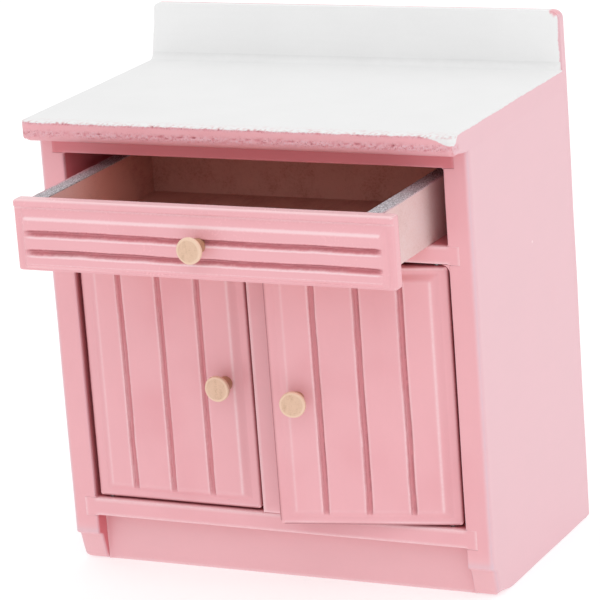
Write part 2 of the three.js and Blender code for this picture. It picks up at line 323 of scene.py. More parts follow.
def painted(name, pick, thin_and_highlit_colour, brush=ALONG_X, gloss=0.36):
    """Painted board: pick(bench, where) gives the coat's colour, and gloss is its mean roughness."""
    material, bench, where = new_material(name)
    drift = bench.noise(where, 9 * MM, detail=3)
    strokes = bench.noise(bench.stretch(where, brush), 0.9 * MM, detail=3, seed=2)
    peel = bench.noise(where, 0.42 * MM, detail=2, roughness=0.6, seed=4)
    fibres = bench.noise(where, 0.13 * MM, detail=2, roughness=0.7, seed=6)
    arris = attribute(bench, "arris")
    tone = 0.955 + 0.05 * drift + 0.02 * strokes + 0.025 * peel
    # painted shade: the bottom of a groove or pit takes a deeper pink
    coat = bench.blend(pick(bench, where), PINK_RECESS_SHADE, attribute(bench, "hollow") * 0.8)
    coat = bench.scale(coat, tone)
    # paint rubbed thin on arrises, and on grooved boards painted highlights as well
    rubbed_and_highlit = (arris * (0.4 + 0.9 * peel)).between(0, 1) * 0.8
    colour = bench.blend(coat, thin_and_highlit_colour, rubbed_and_highlit)
    # real pits, and on grooved boards a painted shadow along one side of each groove
    pitted_and_shadowed = (attribute(bench, "pit") * (0.2 + 1.6 * fibres)).between(0, 1)
    colour = bench.blend(colour, PINK_PIT_AND_SHADOW, pitted_and_shadowed * 0.85)
    roughness = gloss + 0.14 * (peel - 0.5) + 0.1 * (drift - 0.5) + 0.1 * arris + 0.3 * pitted_and_shadowed
    height = 0.45 * peel + 0.3 * strokes + 0.25 * fibres
    finish_material(bench, colour, roughness, height, 0.01 * MM)
    return material


def pink_all_over(bench, where):
    return bench.blend(PINK_DEEP, PINK, bench.noise(where, 14 * MM, seed=9).rise(0.1, 0.55))


print("coat of paint ready")

# %% [markdown]
# The carcass's colour depends on which way a face looks, and that is painted light. Outside it is
# pale, a painted sheen, its front edges are the full pink, and inside, where light goes round and
# round between pink walls, it is painted in a deep shade. The side panels carry that as attributes.
# On the boards between them, how far a place lies behind the front says enough. The top of the
# drawer front is paler than its face, a painted highlight from above, and the doors' edges are
# darker, a painted shade that keeps the gaps round them dark. The rail under the worktop's nose is
# painted in the deep shade, as a painted shadow, and the toe kick and the feet are a lighter pink,
# painted light from the floor.

# %% Pink paints
front_of_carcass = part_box("left_side_panel")[0].y
drawer_front_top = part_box("drawer_front")[1].z


def board_colour(bench, where):
    _, y, _ = bench.split(where)
    # painted shade on every face behind the front of the carcass
    inside = y.rise(front_of_carcass + 0.4 * MM, front_of_carcass + 1.1 * MM)
    return bench.blend(pink_all_over(bench, where), PINK_INSIDE_SHADE, inside)


def drawer_lit_top_colour(bench, where):
    _, _, z = bench.split(where)
    # painted highlight: the top face is paler, lit from above
    top = z.rise(drawer_front_top - 0.45 * MM, drawer_front_top - 0.1 * MM)
    return bench.blend(pink_all_over(bench, where), PINK_TOP_LIT, top)


def toe_floor_lit_colour(bench, where):
    # painted light from the floor: the toe kick is a lighter pink
    return bench.blend(PINK, PINK_FLOOR_LIT, 0.85)


# painted shadow: the rail under the worktop's nose takes the deep inside shade
def rail_shadow_colour(bench, where):
    return bench.blend(PINK_INSIDE_SHADE, pink_all_over(bench, where), 0.12)


def side_colour(bench, where):
    # painted sheen: the outside face is a paler pink
    pale = bench.blend(PINK, PINK_PALE_AND_SHEEN, bench.noise(where, 16 * MM, seed=5).rise(0.05, 0.35))
    fleck = bench.add("ShaderNodeTexVoronoi", sockets={"Vector": where, "Scale": 1 / (13 * MM)})
    pale = bench.blend(PINK_THIN_AND_HIGHLIT, pale, fleck.rise(0.014, 0.022))
    _, _, z = bench.split(where)
    # painted light from the floor on the lowest part of the front edge
    edge = bench.blend(PINK_FLOOR_LIT, pink_all_over(bench, where), z.rise(5 * MM, 9 * MM))
    colour = bench.blend(pale, edge, attribute(bench, "front"))
    # painted shade on the inner face
    colour = bench.blend(colour, PINK_INSIDE_SHADE, attribute(bench, "inner"))
    # painted highlight along the front arris and on the foot's ledge
    return bench.blend(colour, LILAC, attribute(bench, "lilac"))


def door_colour(bench, where):
    ragged = bench.noise(where, 0.7 * MM, detail=3, roughness=0.7, seed=12)
    # painted shade on the doors' edges, so the gaps round them look dark
    shade = (attribute(bench, "wall") * (0.75 + 0.5 * ragged)).between(0, 1) * 0.9
    return bench.blend(pink_all_over(bench, where), PINK_GAP_SHADE, shade)


drawer_paint = painted("drawer_paint", drawer_lit_top_colour, PINK_THIN_AND_HIGHLIT, gloss=0.25)
carcass_paint = painted("carcass_paint", board_colour, PINK_THIN_AND_HIGHLIT)
toe_floor_lit_paint = painted("toe_floor_lit_paint", toe_floor_lit_colour, PINK_THIN_AND_HIGHLIT, gloss=0.45)
rail_shadow_paint = painted("rail_shadow_paint", rail_shadow_colour, PINK_DEEP)
side_paint = painted("side_paint", side_colour, LILAC, brush=ALONG_Y)
door_paint = painted("door_paint", door_colour, PINK_THIN_AND_HIGHLIT, brush=ALONG_Z)
pink_coats = (drawer_paint, carcass_paint, toe_floor_lit_paint, rail_shadow_paint, side_paint, door_paint)
print("pink coats:", [paint.name for paint in pink_coats])

# %% [markdown]
# The worktop was painted white over pink, by eye. White covers its top and stops just under the upper
# arris, along a line that wanders by a few tenths of a millimetre, and at the right front corner it
# ran down. Masks made of heights and distances draw that: `rise` turns "how far above the line"
# into a soft 0 to 1, and noise moves the line. The back board is white in front, pink on its ends and
# behind, and pink was smeared over its upper right corner.

# %% White over pink
worktop_low, worktop_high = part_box("worktop")
splash_low, splash_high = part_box("back_panel")
SEAM_WANDER = 0.9 * MM
SEAM_SOFTNESS = 0.07 * MM
RUN_DOWN = 1.3 * MM


def worktop_colour(bench, where):
    x, y, z = bench.split(where)
    wander = (bench.noise(where, 3.2 * MM, detail=6, roughness=0.75, seed=1) - 0.5) * SEAM_WANDER
    front = 1 - y.rise(worktop_low.y + 0.5 * MM, worktop_low.y + 2 * MM)
    run_down = RUN_DOWN * x.hump(worktop_high.x - 0.6 * MM, 2.6 * MM) * front
    line = worktop_high.z - 0.3 * MM - run_down
    white = (z + wander).rise(line - SEAM_SOFTNESS, line + SEAM_SOFTNESS)
    # painted sheen on the ends, as on the sides
    on_end = abs(x).rise(worktop_high.x - 0.5 * MM, worktop_high.x - 0.1 * MM)
    pale = bench.blend(pink_all_over(bench, where), PINK_PALE_AND_SHEEN, on_end)
    # painted shade on the underside behind the front
    below = 1 - z.rise(worktop_low.z + 0.1 * MM, worktop_low.z + 0.4 * MM)
    underside_shade = below * y.rise(front_of_carcass, front_of_carcass + 1 * MM) * (1 - on_end)
    pink = bench.blend(pale, PINK_INSIDE_SHADE, underside_shade)
    specks = bench.noise(where, 0.3 * MM, detail=3, roughness=0.75, seed=15)
    mottled = bench.blend(PINK_PIT_AND_SHADOW, LILAC, specks.rise(0.34, 0.6))
    rough = (attribute(bench, "rough") * (abs(specks - 0.48) * 9)).between(0, 1) * 0.75
    pink = bench.blend(pink, mottled, rough)
    return bench.blend(pink, WHITE, white)


def back_colour(bench, where):
    x, y, z = bench.split(where)
    wander = (bench.noise(where, 2.4 * MM, detail=5, roughness=0.7, seed=3) - 0.5) * SEAM_WANDER
    end_line = splash_high.x - 0.45 * MM
    on_end = (abs(x) + wander).rise(end_line - SEAM_SOFTNESS, end_line + SEAM_SOFTNESS)
    back_line = splash_high.y - 0.5 * MM
    on_back = (y + wander).rise(back_line - SEAM_SOFTNESS, back_line + SEAM_SOFTNESS)
    below = 1 - z.rise(worktop_high.z - 1 * MM, worktop_high.z - 0.5 * MM)
    corner = x.rise(splash_high.x - 4 * MM, splash_high.x) * z.rise(splash_high.z - 2.2 * MM, splash_high.z)
    smear = (corner * bench.noise(where, 0.9 * MM, detail=3, seed=8)).rise(0.2, 0.36)
    pink = on_end.most(on_back).most(below).most(smear)
    # painted shade on the lower front face, inside the carcass
    inside = below * (1 - y.rise(splash_low.y + 0.1 * MM, splash_low.y + 0.5 * MM))
    inside = inside * (1 - abs(x).rise(splash_high.x - 0.9 * MM, splash_high.x - 0.6 * MM))
    # painted sheen on the ends and the back, and painted shade low on the front
    shade = bench.blend(bench.blend(PINK, PINK_PALE_AND_SHEEN, on_end.most(on_back)), PINK_INSIDE_SHADE, inside)
    # painted light: the backsplash's white is a lighter copy of the worktop's
    return bench.blend(WHITE_SPLASH_LIT, shade, pink)


def splash_fillet_colour(bench, where):
    return bench.blend(WHITE_SPLASH_LIT, WHITE, bench.noise(where, 5 * MM).rise(0.1, 0.5))


worktop_paint = painted("worktop_paint", worktop_colour, WHITE, gloss=0.4)
back_paint = painted("back_paint", back_colour, WHITE, gloss=0.4)
white_paint = painted("white_paint", splash_fillet_colour, WHITE, brush=ALONG_Z)
print("white coats:", [paint.name for paint in (worktop_paint, back_paint, white_paint)])

# %% [markdown]
# The drawer box was left bare inside. It is pressed fibreboard: a fine felt of tan and brown fibres,
# with darker specks. Its outer sides caught a mist of pink, and its sawn top edges are rough, so they
# look grey and speckled, with pink creeping over from outside. The box is painted lighter near the
# inside of its front left, a painted light, and darker towards the back, a painted shade. The knobs
# are unvarnished birch. Their faces show end grain in a paler rim, and their necks take a painted
# shade, so the coat has to know how far a point lies from the knob's axis and along it. The pins are
# wire, scratched along its length.

# %% Bare fibreboard, birch and steel
drawer_box_low, drawer_box_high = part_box("drawer_right_side")
KNOB_RADIUS = 2.2 * MM
KNOB_REACH = 3.7 * MM
KNOB_RIM = 0.8 * MM


def bare_fibreboard():
    material, bench, where = new_material("bare_fibreboard")
    x, y, z = bench.split(where)
    box_side, box_front, box_top = drawer_box_high.x, drawer_box_low.y, drawer_box_high.z
    felt = bench.noise(where, 0.3 * MM, detail=5, roughness=0.7)
    drawn_out = bench.stretch(where, (1, 0.25, 1))
    long_felt = bench.noise(drawn_out, 0.5 * MM, detail=4, roughness=0.65, seed=3)
    cloud = bench.noise(where, 6 * MM, detail=3, seed=7)
    board = bench.blend(FIBRE_DARK, FIBRE, (0.4 * felt + 0.3 * long_felt + 0.5 * cloud).rise(0.3, 0.66))
    outer = abs(x).rise(box_side - 0.35 * MM, box_side - 0.05 * MM)
    mist = outer * (0.85 + 0.5 * (cloud - 0.5) + 0.9 * (felt - 0.5)).between(0, 1)
    misted_and_lit = bench.blend(board, FIBRE_MIST_AND_LIGHT, mist)
    sawn = z.rise(box_top - 0.32 * MM, box_top - 0.16 * MM)
    grit = bench.noise(where, 0.2 * MM, detail=3, roughness=0.75, seed=11)
    speckle = bench.blend(SAWN_DARK, SAWN_LIGHT, grit.rise(0.36, 0.6))
    creep = abs(x) + (cloud - 0.5) * 2.4 * MM + (grit - 0.5) * 0.8 * MM
    creep = creep.rise(box_side - 0.7 * MM, box_side + 0.2 * MM)
    edge = bench.blend(speckle, PINK_PALE_AND_SHEEN, creep * 0.8)
    # painted light on the inside near the front left
    front_left_lit = x.hump(-box_side, 5 * MM) * (1 - y.rise(box_front, box_front + 22 * MM))
    misted_and_lit = bench.blend(misted_and_lit, FIBRE_MIST_AND_LIGHT, front_left_lit * (0.5 + 0.5 * felt))
    # painted shade, darker towards the back
    shade_towards_back = 1 - 0.3 * y.rise(box_front + 20 * MM, drawer_box_high.y + 6 * MM)
    colour = bench.blend(bench.scale(misted_and_lit, shade_towards_back), edge, sawn)
    roughness = 0.78 + 0.2 * (felt - 0.5)
    finish_material(bench, colour, roughness, 0.6 * felt + 0.4 * long_felt, 0.05 * MM)
    return material


def turned_birch():
    material, bench, where = new_material("turned_birch")
    pores = bench.noise(where, 0.22 * MM, detail=3, roughness=0.7)
    rings = bench.noise(bench.stretch(where, (1, 1, 0.45)), 0.8 * MM, detail=2, seed=4)
    end_grain = bench.blend(BIRCH_DARK, BIRCH, (0.55 * pores + 0.45 * rings).rise(0.3, 0.56))
    rim = attribute(bench, "from_axis").rise(KNOB_RADIUS - 0.55 * MM, KNOB_RADIUS - 0.25 * MM)
    # painted shade on the neck behind the disc
    neck_shade = 1 - attribute(bench, "along").rise(KNOB_REACH - KNOB_RIM - 0.15 * MM, KNOB_REACH - KNOB_RIM)
    colour = bench.blend(bench.blend(end_grain, BIRCH_RIM, rim), BIRCH_NECK_SHADE, neck_shade)
    roughness = 0.5 + 0.25 * (pores - 0.5)
    finish_material(bench, colour, roughness, pores, 0.025 * MM)
    return material


def drawn_steel():
    material, bench, where = new_material("drawn_steel")
    scratches = bench.noise(bench.stretch(where, (1, 1, 0.08)), 0.06 * MM, detail=3)
    colour = bench.blend(STEEL_DARK, STEEL, scratches)
    finish_material(bench, colour, 0.28 + 0.2 * scratches, scratches, 0.004 * MM, {"Metallic": 1.0})
    return material


fibreboard = bare_fibreboard()
birch = turned_birch()
steel = drawn_steel()
print("bare finishes:", fibreboard.name, birch.name, steel.name)

# %% [markdown]
# ## Boards by Geometry Nodes
#
# Nine of the boards are plain rectangles, and what makes them look sawn and sanded rather than drawn
# is the same on all: arrises eased to a small radius and faces that are not quite flat. That is a
# rule, so it goes into one node tree with the sizes as named inputs. The tree starts from a cube
# mesh with many lines. Two ideas are worth learning here. First, `crowd` slides the lines towards a
# place where the shape changes quickly, so detail goes where it is needed. Second, an edge is
# rounded by shrinking the box by the radius: whatever part of a point sticks out past the smaller
# box is bent from a square corner to a round one.

# %% Helpers shared by the board trees
SOCKET_KINDS = {float: "Float", int: "Int", tuple: "Vector"}
TINY = 1e-7               # keeps a division by a length of nothing harmless
FULL_BEND = 1 - math.sqrt(0.5)
WAVE_SIZE = 11 * MM


def new_tree(name, inputs):
    """A Geometry Nodes tree whose inputs are these names with these defaults, and a material."""
    tree = bpy.data.node_groups.new(name, "GeometryNodeTree")
    for socket_name, default in inputs.items():
        kind = "NodeSocket" + SOCKET_KINDS[type(default)]
        tree.interface.new_socket(socket_name, in_out="INPUT", socket_type=kind).default_value = default
    tree.interface.new_socket("Material", in_out="INPUT", socket_type="NodeSocketMaterial")
    tree.interface.new_socket("Board", in_out="OUTPUT", socket_type="NodeSocketGeometry")
    bench = Bench(tree)
    entry = bench.add("NodeGroupInput").socket.node
    given = {name: Wire(bench, entry.outputs[name]) for name in (*inputs, "Material")}
    return tree, bench, given


def crowd(place, at, reach, pull=0.72):
    """Slides grid lines towards the place `at`, and hardly at all beyond twice the reach."""
    away = (place - at) / reach
    return place - pull * reach * away * (-(away * away)).exp()


def eased(place, half, radius):
    """Bends square corners to a radius, in two or three directions, and says how near an arris it is."""
    inner = [p.between(radius - h, h - radius) for p, h in zip(place, half)]
    over = [p - i for p, i in zip(place, inner)]
    largest = abs(over[0])
    square = over[0] * over[0]
    for amount in over[1:]:
        largest = largest.most(abs(amount))
        square = square + amount * amount
    bend = (largest + TINY) / (square.root() + TINY)
    on_arris = (1 - bend) / FULL_BEND
    return [i + o * bend for i, o in zip(inner, over)], on_arris.between(0, 1)


def finish_board(bench, given, cube, place, half, attributes):
    """Moves the cube's points to their places, waves the faces a little and stores the attributes."""
    position = bench.add("GeometryNodeInputPosition")
    shaken = bench.add(
        "ShaderNodeTexNoise", {"noise_dimensions": "4D"},
        {"Vector": position, "W": given["Seed"], "Scale": 1 / WAVE_SIZE, "Detail": 3.0}, output="Color")
    centred = bench.add("ShaderNodeVectorMath", {"operation": "SUBTRACT"}, {0: shaken, 1: (0.5, 0.5, 0.5)})
    wave = bench.split(bench.scale(centred, given["Wobble"]))
    place = [(p + w).between(h * -1, h) for p, w, h in zip(place, wave, half)]
    board = bench.add("GeometryNodeSetPosition", sockets={"Geometry": cube, "Position": bench.join(*place)})
    for name, value in attributes.items():
        sockets = {"Geometry": board, "Name": name, "Value": value}
        board = bench.add("GeometryNodeStoreNamedAttribute", {"data_type": "FLOAT"}, sockets)
    board = bench.add("GeometryNodeRealizeInstances", sockets={"Geometry": board})
    board = bench.add("GeometryNodeSetMaterial", sockets={"Geometry": board, "Material": given["Material"]})
    bench.add("NodeGroupOutput", sockets={"Board": board})


print("board helpers ready")

# %% Plain board
EDGE_REACH = 0.9 * MM     # grid lines crowd this far in from an edge
EXTRA_LINES = 11          # for the edges, however small the board is


def plain_board_tree():
    tree, bench, given = new_tree("Plain board", {
        "Size": (60 * MM, 40 * MM, 3 * MM), "Edge Radius": 0.3 * MM, "Housed Ends": 0.0,
        "Sawn Top": 0.0, "Line Spacing": 0.9 * MM, "Wobble": 0.08 * MM, "Seed": 0.0,
    })
    size = bench.split(given["Size"])
    half = [length / 2 for length in size]
    lines = [length / given["Line Spacing"] + EXTRA_LINES for length in size]
    cube = bench.add("GeometryNodeMeshCube", sockets={
        "Size": given["Size"], "Vertices X": lines[0], "Vertices Y": lines[1], "Vertices Z": lines[2]})
    place = bench.split(bench.add("GeometryNodeInputPosition"))
    on_top = (place[2] / half[2]).rise(0.98, 1.0)
    for edge in (-1, 1):
        place = [crowd(p, h * edge, EDGE_REACH) for p, h in zip(place, half)]
    housed = abs(place[0]).rise(half[0] - given["Housed Ends"] - 0.1 * MM, half[0] - given["Housed Ends"])
    radius = given["Edge Radius"] * (1 - housed) + 0.01 * MM
    (across, deep, up), on_arris = eased(place, half, radius)
    grit = bench.noise(bench.join(across, deep, up), 0.34 * MM, detail=3, roughness=0.7, seed=given["Seed"])
    sawn = on_top * given["Sawn Top"] * (grit - 0.3).between(0, 1)
    finish_board(bench, given, cube, (across, deep, up - sawn), half, {"arris": on_arris})
    return tree


plain_board = plain_board_tree()
print("plain board tree:", len(plain_board.nodes), "nodes")

# %% [markdown]
# The drawer front and the doors are one more rule: a board with a raised field, a lower border all
# round, and grooves that stop short of the border. All three are the same tree, with the grooves
# running along the board. Every point of the front asks two questions. How far am I inside the
# border? How far am I from the nearest groove's centre line? The answers give its depth. The grooves
# repeat, so the nearest one is found by rounding, as you would find the nearest fence post. The same
# answers say where the paint is thin, on arrises, lips and the crest of the border, and where light
# and shade are painted in: a painted highlight on the lips of one side and along the crest of the
# high border, a painted shade in the bottom of a groove, and a painted shadow, a dark crease, inside
# each groove along its other lip. The board's edges get a painted shade too, which the doors' coat
# uses to keep the gaps round them dark. Each of those is stored for the coat to read.

# %% Grooved board
LIP_REACH = 0.42 * MM     # grid lines crowd this far round a lip
BORDER_REACH = 0.8 * MM
LINES_AT_LEAST = 3
LINES_THROUGH = 14


def grooved_board_tree():
    tree, bench, given = new_tree("Grooved board", {
        "Across": 30 * MM, "Along": 44 * MM, "Thickness": 3 * MM,
        "Grooves": 3, "Pitch": 7 * MM, "Shift": 0.0, "Groove Width": 0.9 * MM, "Groove Depth": 0.8 * MM,
        "Lip": 0.12 * MM, "Groove Stop": 1.5 * MM, "Run Out": 1.2 * MM, "Groove Shadow": 0.0, "Upper Lip Highlight": 0.8,
        "Low Border": 1.3 * MM, "High Border": 1.3 * MM, "End Border": 1.3 * MM, "Field Rise": 0.55 * MM,
        "Low Slope": 0.6 * MM, "High Slope": 0.6 * MM, "End Slope": 0.6 * MM, "Painted Shine": 0.5,
        "Ledge": 0.0, "Ledge Drop": 0.0, "Edge Radius": 0.4 * MM, "Corner Radius": 0.5 * MM,
        "Line Spacing Across": 0.18 * MM, "Line Spacing Along": 0.3 * MM,
        "Raggedness": 0.16 * MM, "Wobble": 0.1 * MM, "Seed": 0.0,
    })
    half = [given["Across"] / 2, given["Along"] / 2, given["Thickness"] / 2]
    cube = bench.add("GeometryNodeMeshCube", sockets={
        "Size": bench.join(given["Across"], given["Along"], given["Thickness"]),
        "Vertices X": given["Across"] / given["Line Spacing Across"] + LINES_AT_LEAST,
        "Vertices Y": given["Along"] / given["Line Spacing Along"] + LINES_AT_LEAST,
        "Vertices Z": LINES_THROUGH})
    across, along, deep = bench.split(bench.add("GeometryNodeInputPosition"))

    last = given["Grooves"] - 1
    number = round((across - given["Shift"]) / given["Pitch"] + last / 2).between(0, last)
    groove = (number - last / 2) * given["Pitch"] + given["Shift"]
    groove_half = given["Groove Width"] / 2
    for lip in (groove - groove_half, groove + groove_half):
        across = crowd(across, lip, LIP_REACH)
    for end in (-1, 1):
        side_border = given["Low Border"] if end < 0 else given["High Border"]
        across = crowd(across, (half[0] - side_border) * end, BORDER_REACH, pull=0.5)
        along = crowd(along, (half[1] - given["End Border"]) * end, BORDER_REACH, pull=0.5)
        across = crowd(across, half[0] * end, EDGE_REACH)
        along = crowd(along, half[1] * end, EDGE_REACH)
        deep = crowd(deep, half[2] * end, EDGE_REACH)
    (across, along), _ = eased((across, along), half[:2], given["Corner Radius"])
    (across, along, deep), on_arris = eased((across, along, deep), half, given["Edge Radius"])

    flat = bench.join(across, along, 0.0)
    ragged = bench.noise(flat, 1.5 * MM, detail=4, roughness=0.62, seed=given["Seed"]) - 0.5
    swerve = bench.noise(flat, 12 * MM, detail=1, seed=given["Seed"]) - 0.5
    offset = across - groove + swerve * given["Raggedness"] * 1.5
    from_groove = abs(offset) + ragged * given["Raggedness"]
    cut = 1 - from_groove.rise(groove_half - given["Lip"], groove_half + given["Lip"])
    run = (half[1] - given["Groove Stop"] - abs(along)).rise(0.0, given["Run Out"])
    shaky = ragged * given["Raggedness"] * 0.12
    up_low = (across + half[0] - given["Low Border"] + shaky) / given["Low Slope"]
    up_high = (half[0] - across - given["High Border"] + shaky) / given["High Slope"]
    up_end = (half[1] - abs(along) - given["End Border"] + shaky) / given["End Slope"]
    climb = up_low.least(up_high).least(up_end)
    up = climb.between(0, 1)
    up = 0.45 * up + 0.55 * up.rise(0, 1)
    ledge = 1 - (half[0] - across).rise(given["Ledge"] - 0.1 * MM, given["Ledge"] + 0.1 * MM)
    border_depth = (given["Field Rise"] * (1 - up) + given["Ledge Drop"] * ledge).most(0)
    depth = (given["Groove Depth"] * cut * run).most(border_depth)
    share = ((deep + half[2]) / given["Thickness"]).between(0, 1)
    upper = (offset / groove_half).rise(-0.5, 0.5)
    # lips: paint rubbed thin, plus a painted highlight that is strongest on the side facing the light
    lips = from_groove.hump(groove_half + given["Lip"] * 0.6, 0.15 * MM) * run
    lips = lips * (1 + (given["Upper Lip Highlight"] - 1) * upper)
    crest = climb.hump(1.0, 0.14)
    # painted highlight along the crest of the high border
    top_crest_highlight = up_high.hump(1.0, 0.17) * up_end.rise(0.6, 1.4) * given["Painted Shine"]
    ledge_edge = (half[0] - across).hump(given["Ledge"] + 0.12 * MM, 0.12 * MM)
    ledge_edge = ledge_edge * given["Ledge"].rise(0, 0.1 * MM)
    # rubbed paint on arrises, with the painted highlights on lips and crests added
    thin_and_highlit = on_arris.most(lips * given["Painted Shine"] * 1.6).most(crest * 0.5)
    thin_and_highlit = thin_and_highlit.most(top_crest_highlight * 1.8).most(ledge_edge * 1.3)
    thin_and_highlit = thin_and_highlit * share.rise(0.6, 1.0)
    # painted shade on the board's edges, read by the doors' coat
    wall = 1 - (half[0] - abs(across)).least(half[1] - abs(along)).rise(0.02 * MM, 0.25 * MM)
    broken = (ragged + 0.62).rise(0.4, 0.7)
    # painted shadow: a dark crease inside each groove, along its upper or right-hand lip
    groove_shadow = offset.hump(groove_half - 0.12 * MM, 0.11 * MM) * run * given["Groove Shadow"] * broken
    place = (across, along, deep - depth * share)
    finish_board(bench, given, cube, place, half, {
        "arris": thin_and_highlit, "hollow": cut * run * share, "wall": wall, "pit": groove_shadow * share.rise(0.6, 1.0)})
    return tree


grooved_board = grooved_board_tree()
print("grooved board tree:", len(grooved_board.nodes), "nodes")

# %% [markdown]
# A tree is only a recipe, and the finished cabinet should be plain meshes. So we hang the tree on an
# empty object as a modifier, fill in its inputs, let Blender work it out once, take the result as a
# mesh, and remove the modifier. Inputs are filled by the socket's identifier, because two inputs may
# share a name. The board comes out round the origin, and a matrix then moves its points into place.

# %% Baking a tree and fitting a piece
collection = bpy.context.scene.collection
SHARP_ANGLE = math.radians(48)
made = []


def finish_piece(mesh, name, body, slot, nodes):
    """Makes an object of a finished mesh, hangs it on its body's empty and hides the solids it replaces."""
    mesh.name = name
    mesh.shade_smooth()
    mesh.set_sharp_from_angle(angle=SHARP_ANGLE)
    piece = bpy.data.objects.new(name, mesh)
    collection.objects.link(piece)
    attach(piece, body)
    if nodes:
        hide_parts(*nodes)
    made.append(piece)
    print(name, "rides on", body, "and has", len(mesh.polygons), "faces")


def bake(tree, inputs, move):
    """The tree's mesh for these inputs, moved into place."""
    holder = bpy.data.objects.new("holder", bpy.data.meshes.new("holder"))
    collection.objects.link(holder)
    modifier = holder.modifiers.new(tree.name, "NODES")
    modifier.node_group = tree
    for socket in tree.interface.items_tree:
        if socket.in_out == "INPUT" and socket.name in inputs:
            modifier[socket.identifier] = inputs[socket.name]
    graph = bpy.context.evaluated_depsgraph_get()
    baked = holder.evaluated_get(graph)
    mesh = bpy.data.meshes.new_from_object(baked, preserve_all_data_layers=True, depsgraph=graph)
    holder.modifiers.remove(modifier)
    bpy.data.objects.remove(holder)
    mesh.transform(move)
    return mesh


def add_plain_board(node, body, slot, material, seed, **more):
    """More inputs of the tree are given with their names in lower case and underscores."""
    low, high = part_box(node)
    inputs = {"Size": tuple(high - low), "Seed": float(seed), "Material": material}
    inputs.update({name.replace("_", " ").title(): value for name, value in more.items()})
    mesh = bake(plain_board, inputs, Matrix.Translation((low + high) / 2))
    finish_piece(mesh, node + "_board", body, slot, [node])


HOUSED = 2.2 * MM         # a board's end that sits in a side panel, with its arrises left square
HOUSED_RADII = {"bottom_board": 0.5 * MM, "drawer_shelf": 0.4 * MM}
for seed, (node, radius) in enumerate(HOUSED_RADII.items(), start=1):
    add_plain_board(
        node, "carcass", "pink_paint", carcass_paint, seed, edge_radius=radius, housed_ends=HOUSED)
add_plain_board(
    "top_rail", "carcass", "pink_paint", rail_shadow_paint, 3, edge_radius=0.25 * MM, housed_ends=HOUSED)
add_plain_board("centre_stile", "carcass", "pink_paint", carcass_paint, 4, edge_radius=0.3 * MM)
add_plain_board("toe_kick_board", "carcass", "pink_paint", toe_floor_lit_paint, 5, housed_ends=0.3 * MM)

SAWN = {"line_spacing": 0.27 * MM, "sawn_top": 0.4 * MM, "edge_radius": 0.15 * MM}
for seed, node in enumerate(("drawer_left_side", "drawer_right_side", "drawer_back"), start=20):
    add_plain_board(node, "drawer", "bare_wood", fibreboard, seed, **SAWN)
add_plain_board("drawer_bottom", "drawer", "bare_wood", fibreboard, 23, edge_radius=0.1 * MM)

# %% [markdown]
# The grooved boards need turning as well as moving. The recipe lays a board flat, with its grooves
# along Y and its front up. A door stands with its grooves upright and its front towards -Y. The
# drawer front lies with its grooves level. Each case is one rotation matrix, written as the
# directions that the board's own X, Y and Z take. The right door stands ajar, so it turns once more
# about its hinge, by the angle that its joint still has left before it is shut.

# %% The drawer front and the doors
def standing(across, along, front):
    """A rotation whose columns are where a board's own X, Y and Z point."""
    return Matrix((across, along, front)).transposed().to_4x4()


GROOVES_LEVEL = standing((0, 0, 1), (1, 0, 0), (0, -1, 0))
GROOVES_UPRIGHT = standing((1, 0, 0), (0, 0, 1), (0, -1, 0))
DRAWER_PITCH = 3.2 * MM
DRAWER_SHIFT = -1.1 * MM
DOOR_SIZE = Vector((31, 3, 44.2)) * MM
DOOR_PITCH = 7.35 * MM
DOOR_SHIFT = 0.6 * MM
DOOR_BORDER = 1.6 * MM
DOOR_SLOPE = 1.5 * MM
PIVOT_TO_EDGE = 2 * MM

low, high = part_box("drawer_front")
size = high - low
mesh = bake(grooved_board, {
    "Across": size.z, "Along": size.x, "Thickness": size.y, "Grooves": 2, "Pitch": DRAWER_PITCH,
    "Shift": DRAWER_SHIFT, "Groove Width": 0.72 * MM, "Lip": 0.3 * MM, "Groove Stop": 1.5 * MM,
    "Run Out": 2.0 * MM, "Groove Depth": 1.0 * MM, "Groove Shadow": 1.6, "Upper Lip Highlight": 0.1, "Painted Shine": 1.0,
    "Low Border": 0.4 * MM, "Low Slope": 0.8 * MM, "High Border": 1.5 * MM, "High Slope": 1.5 * MM,
    "End Slope": 0.8 * MM, "Field Rise": 0.9 * MM, "Ledge": 1.25 * MM, "Ledge Drop": -0.25 * MM,
    "Line Spacing Across": 0.12 * MM, "Line Spacing Along": 0.36 * MM, "Raggedness": 0.26 * MM,
    "Seed": 31.0, "Material": drawer_paint,
}, Matrix.Translation((low + high) / 2) @ GROOVES_LEVEL)
finish_piece(mesh, "drawer_front_board", "drawer", "pink_paint", ["drawer_front"])


def door_turn(side):
    """How a door stands at rest: a turn about its pin. side is -1 for the left door and 1 for the right."""
    hinge = hinges["left_door_hinge" if side < 0 else "right_door_hinge"]
    angle = math.radians(-hinge["range_deg"][0]) * hinge["axis"][2]
    pin = Vector(hinge["pos_m"])
    return Matrix.Translation(pin) @ Matrix.Rotation(angle, 4, "Z") @ Matrix.Translation(-pin)


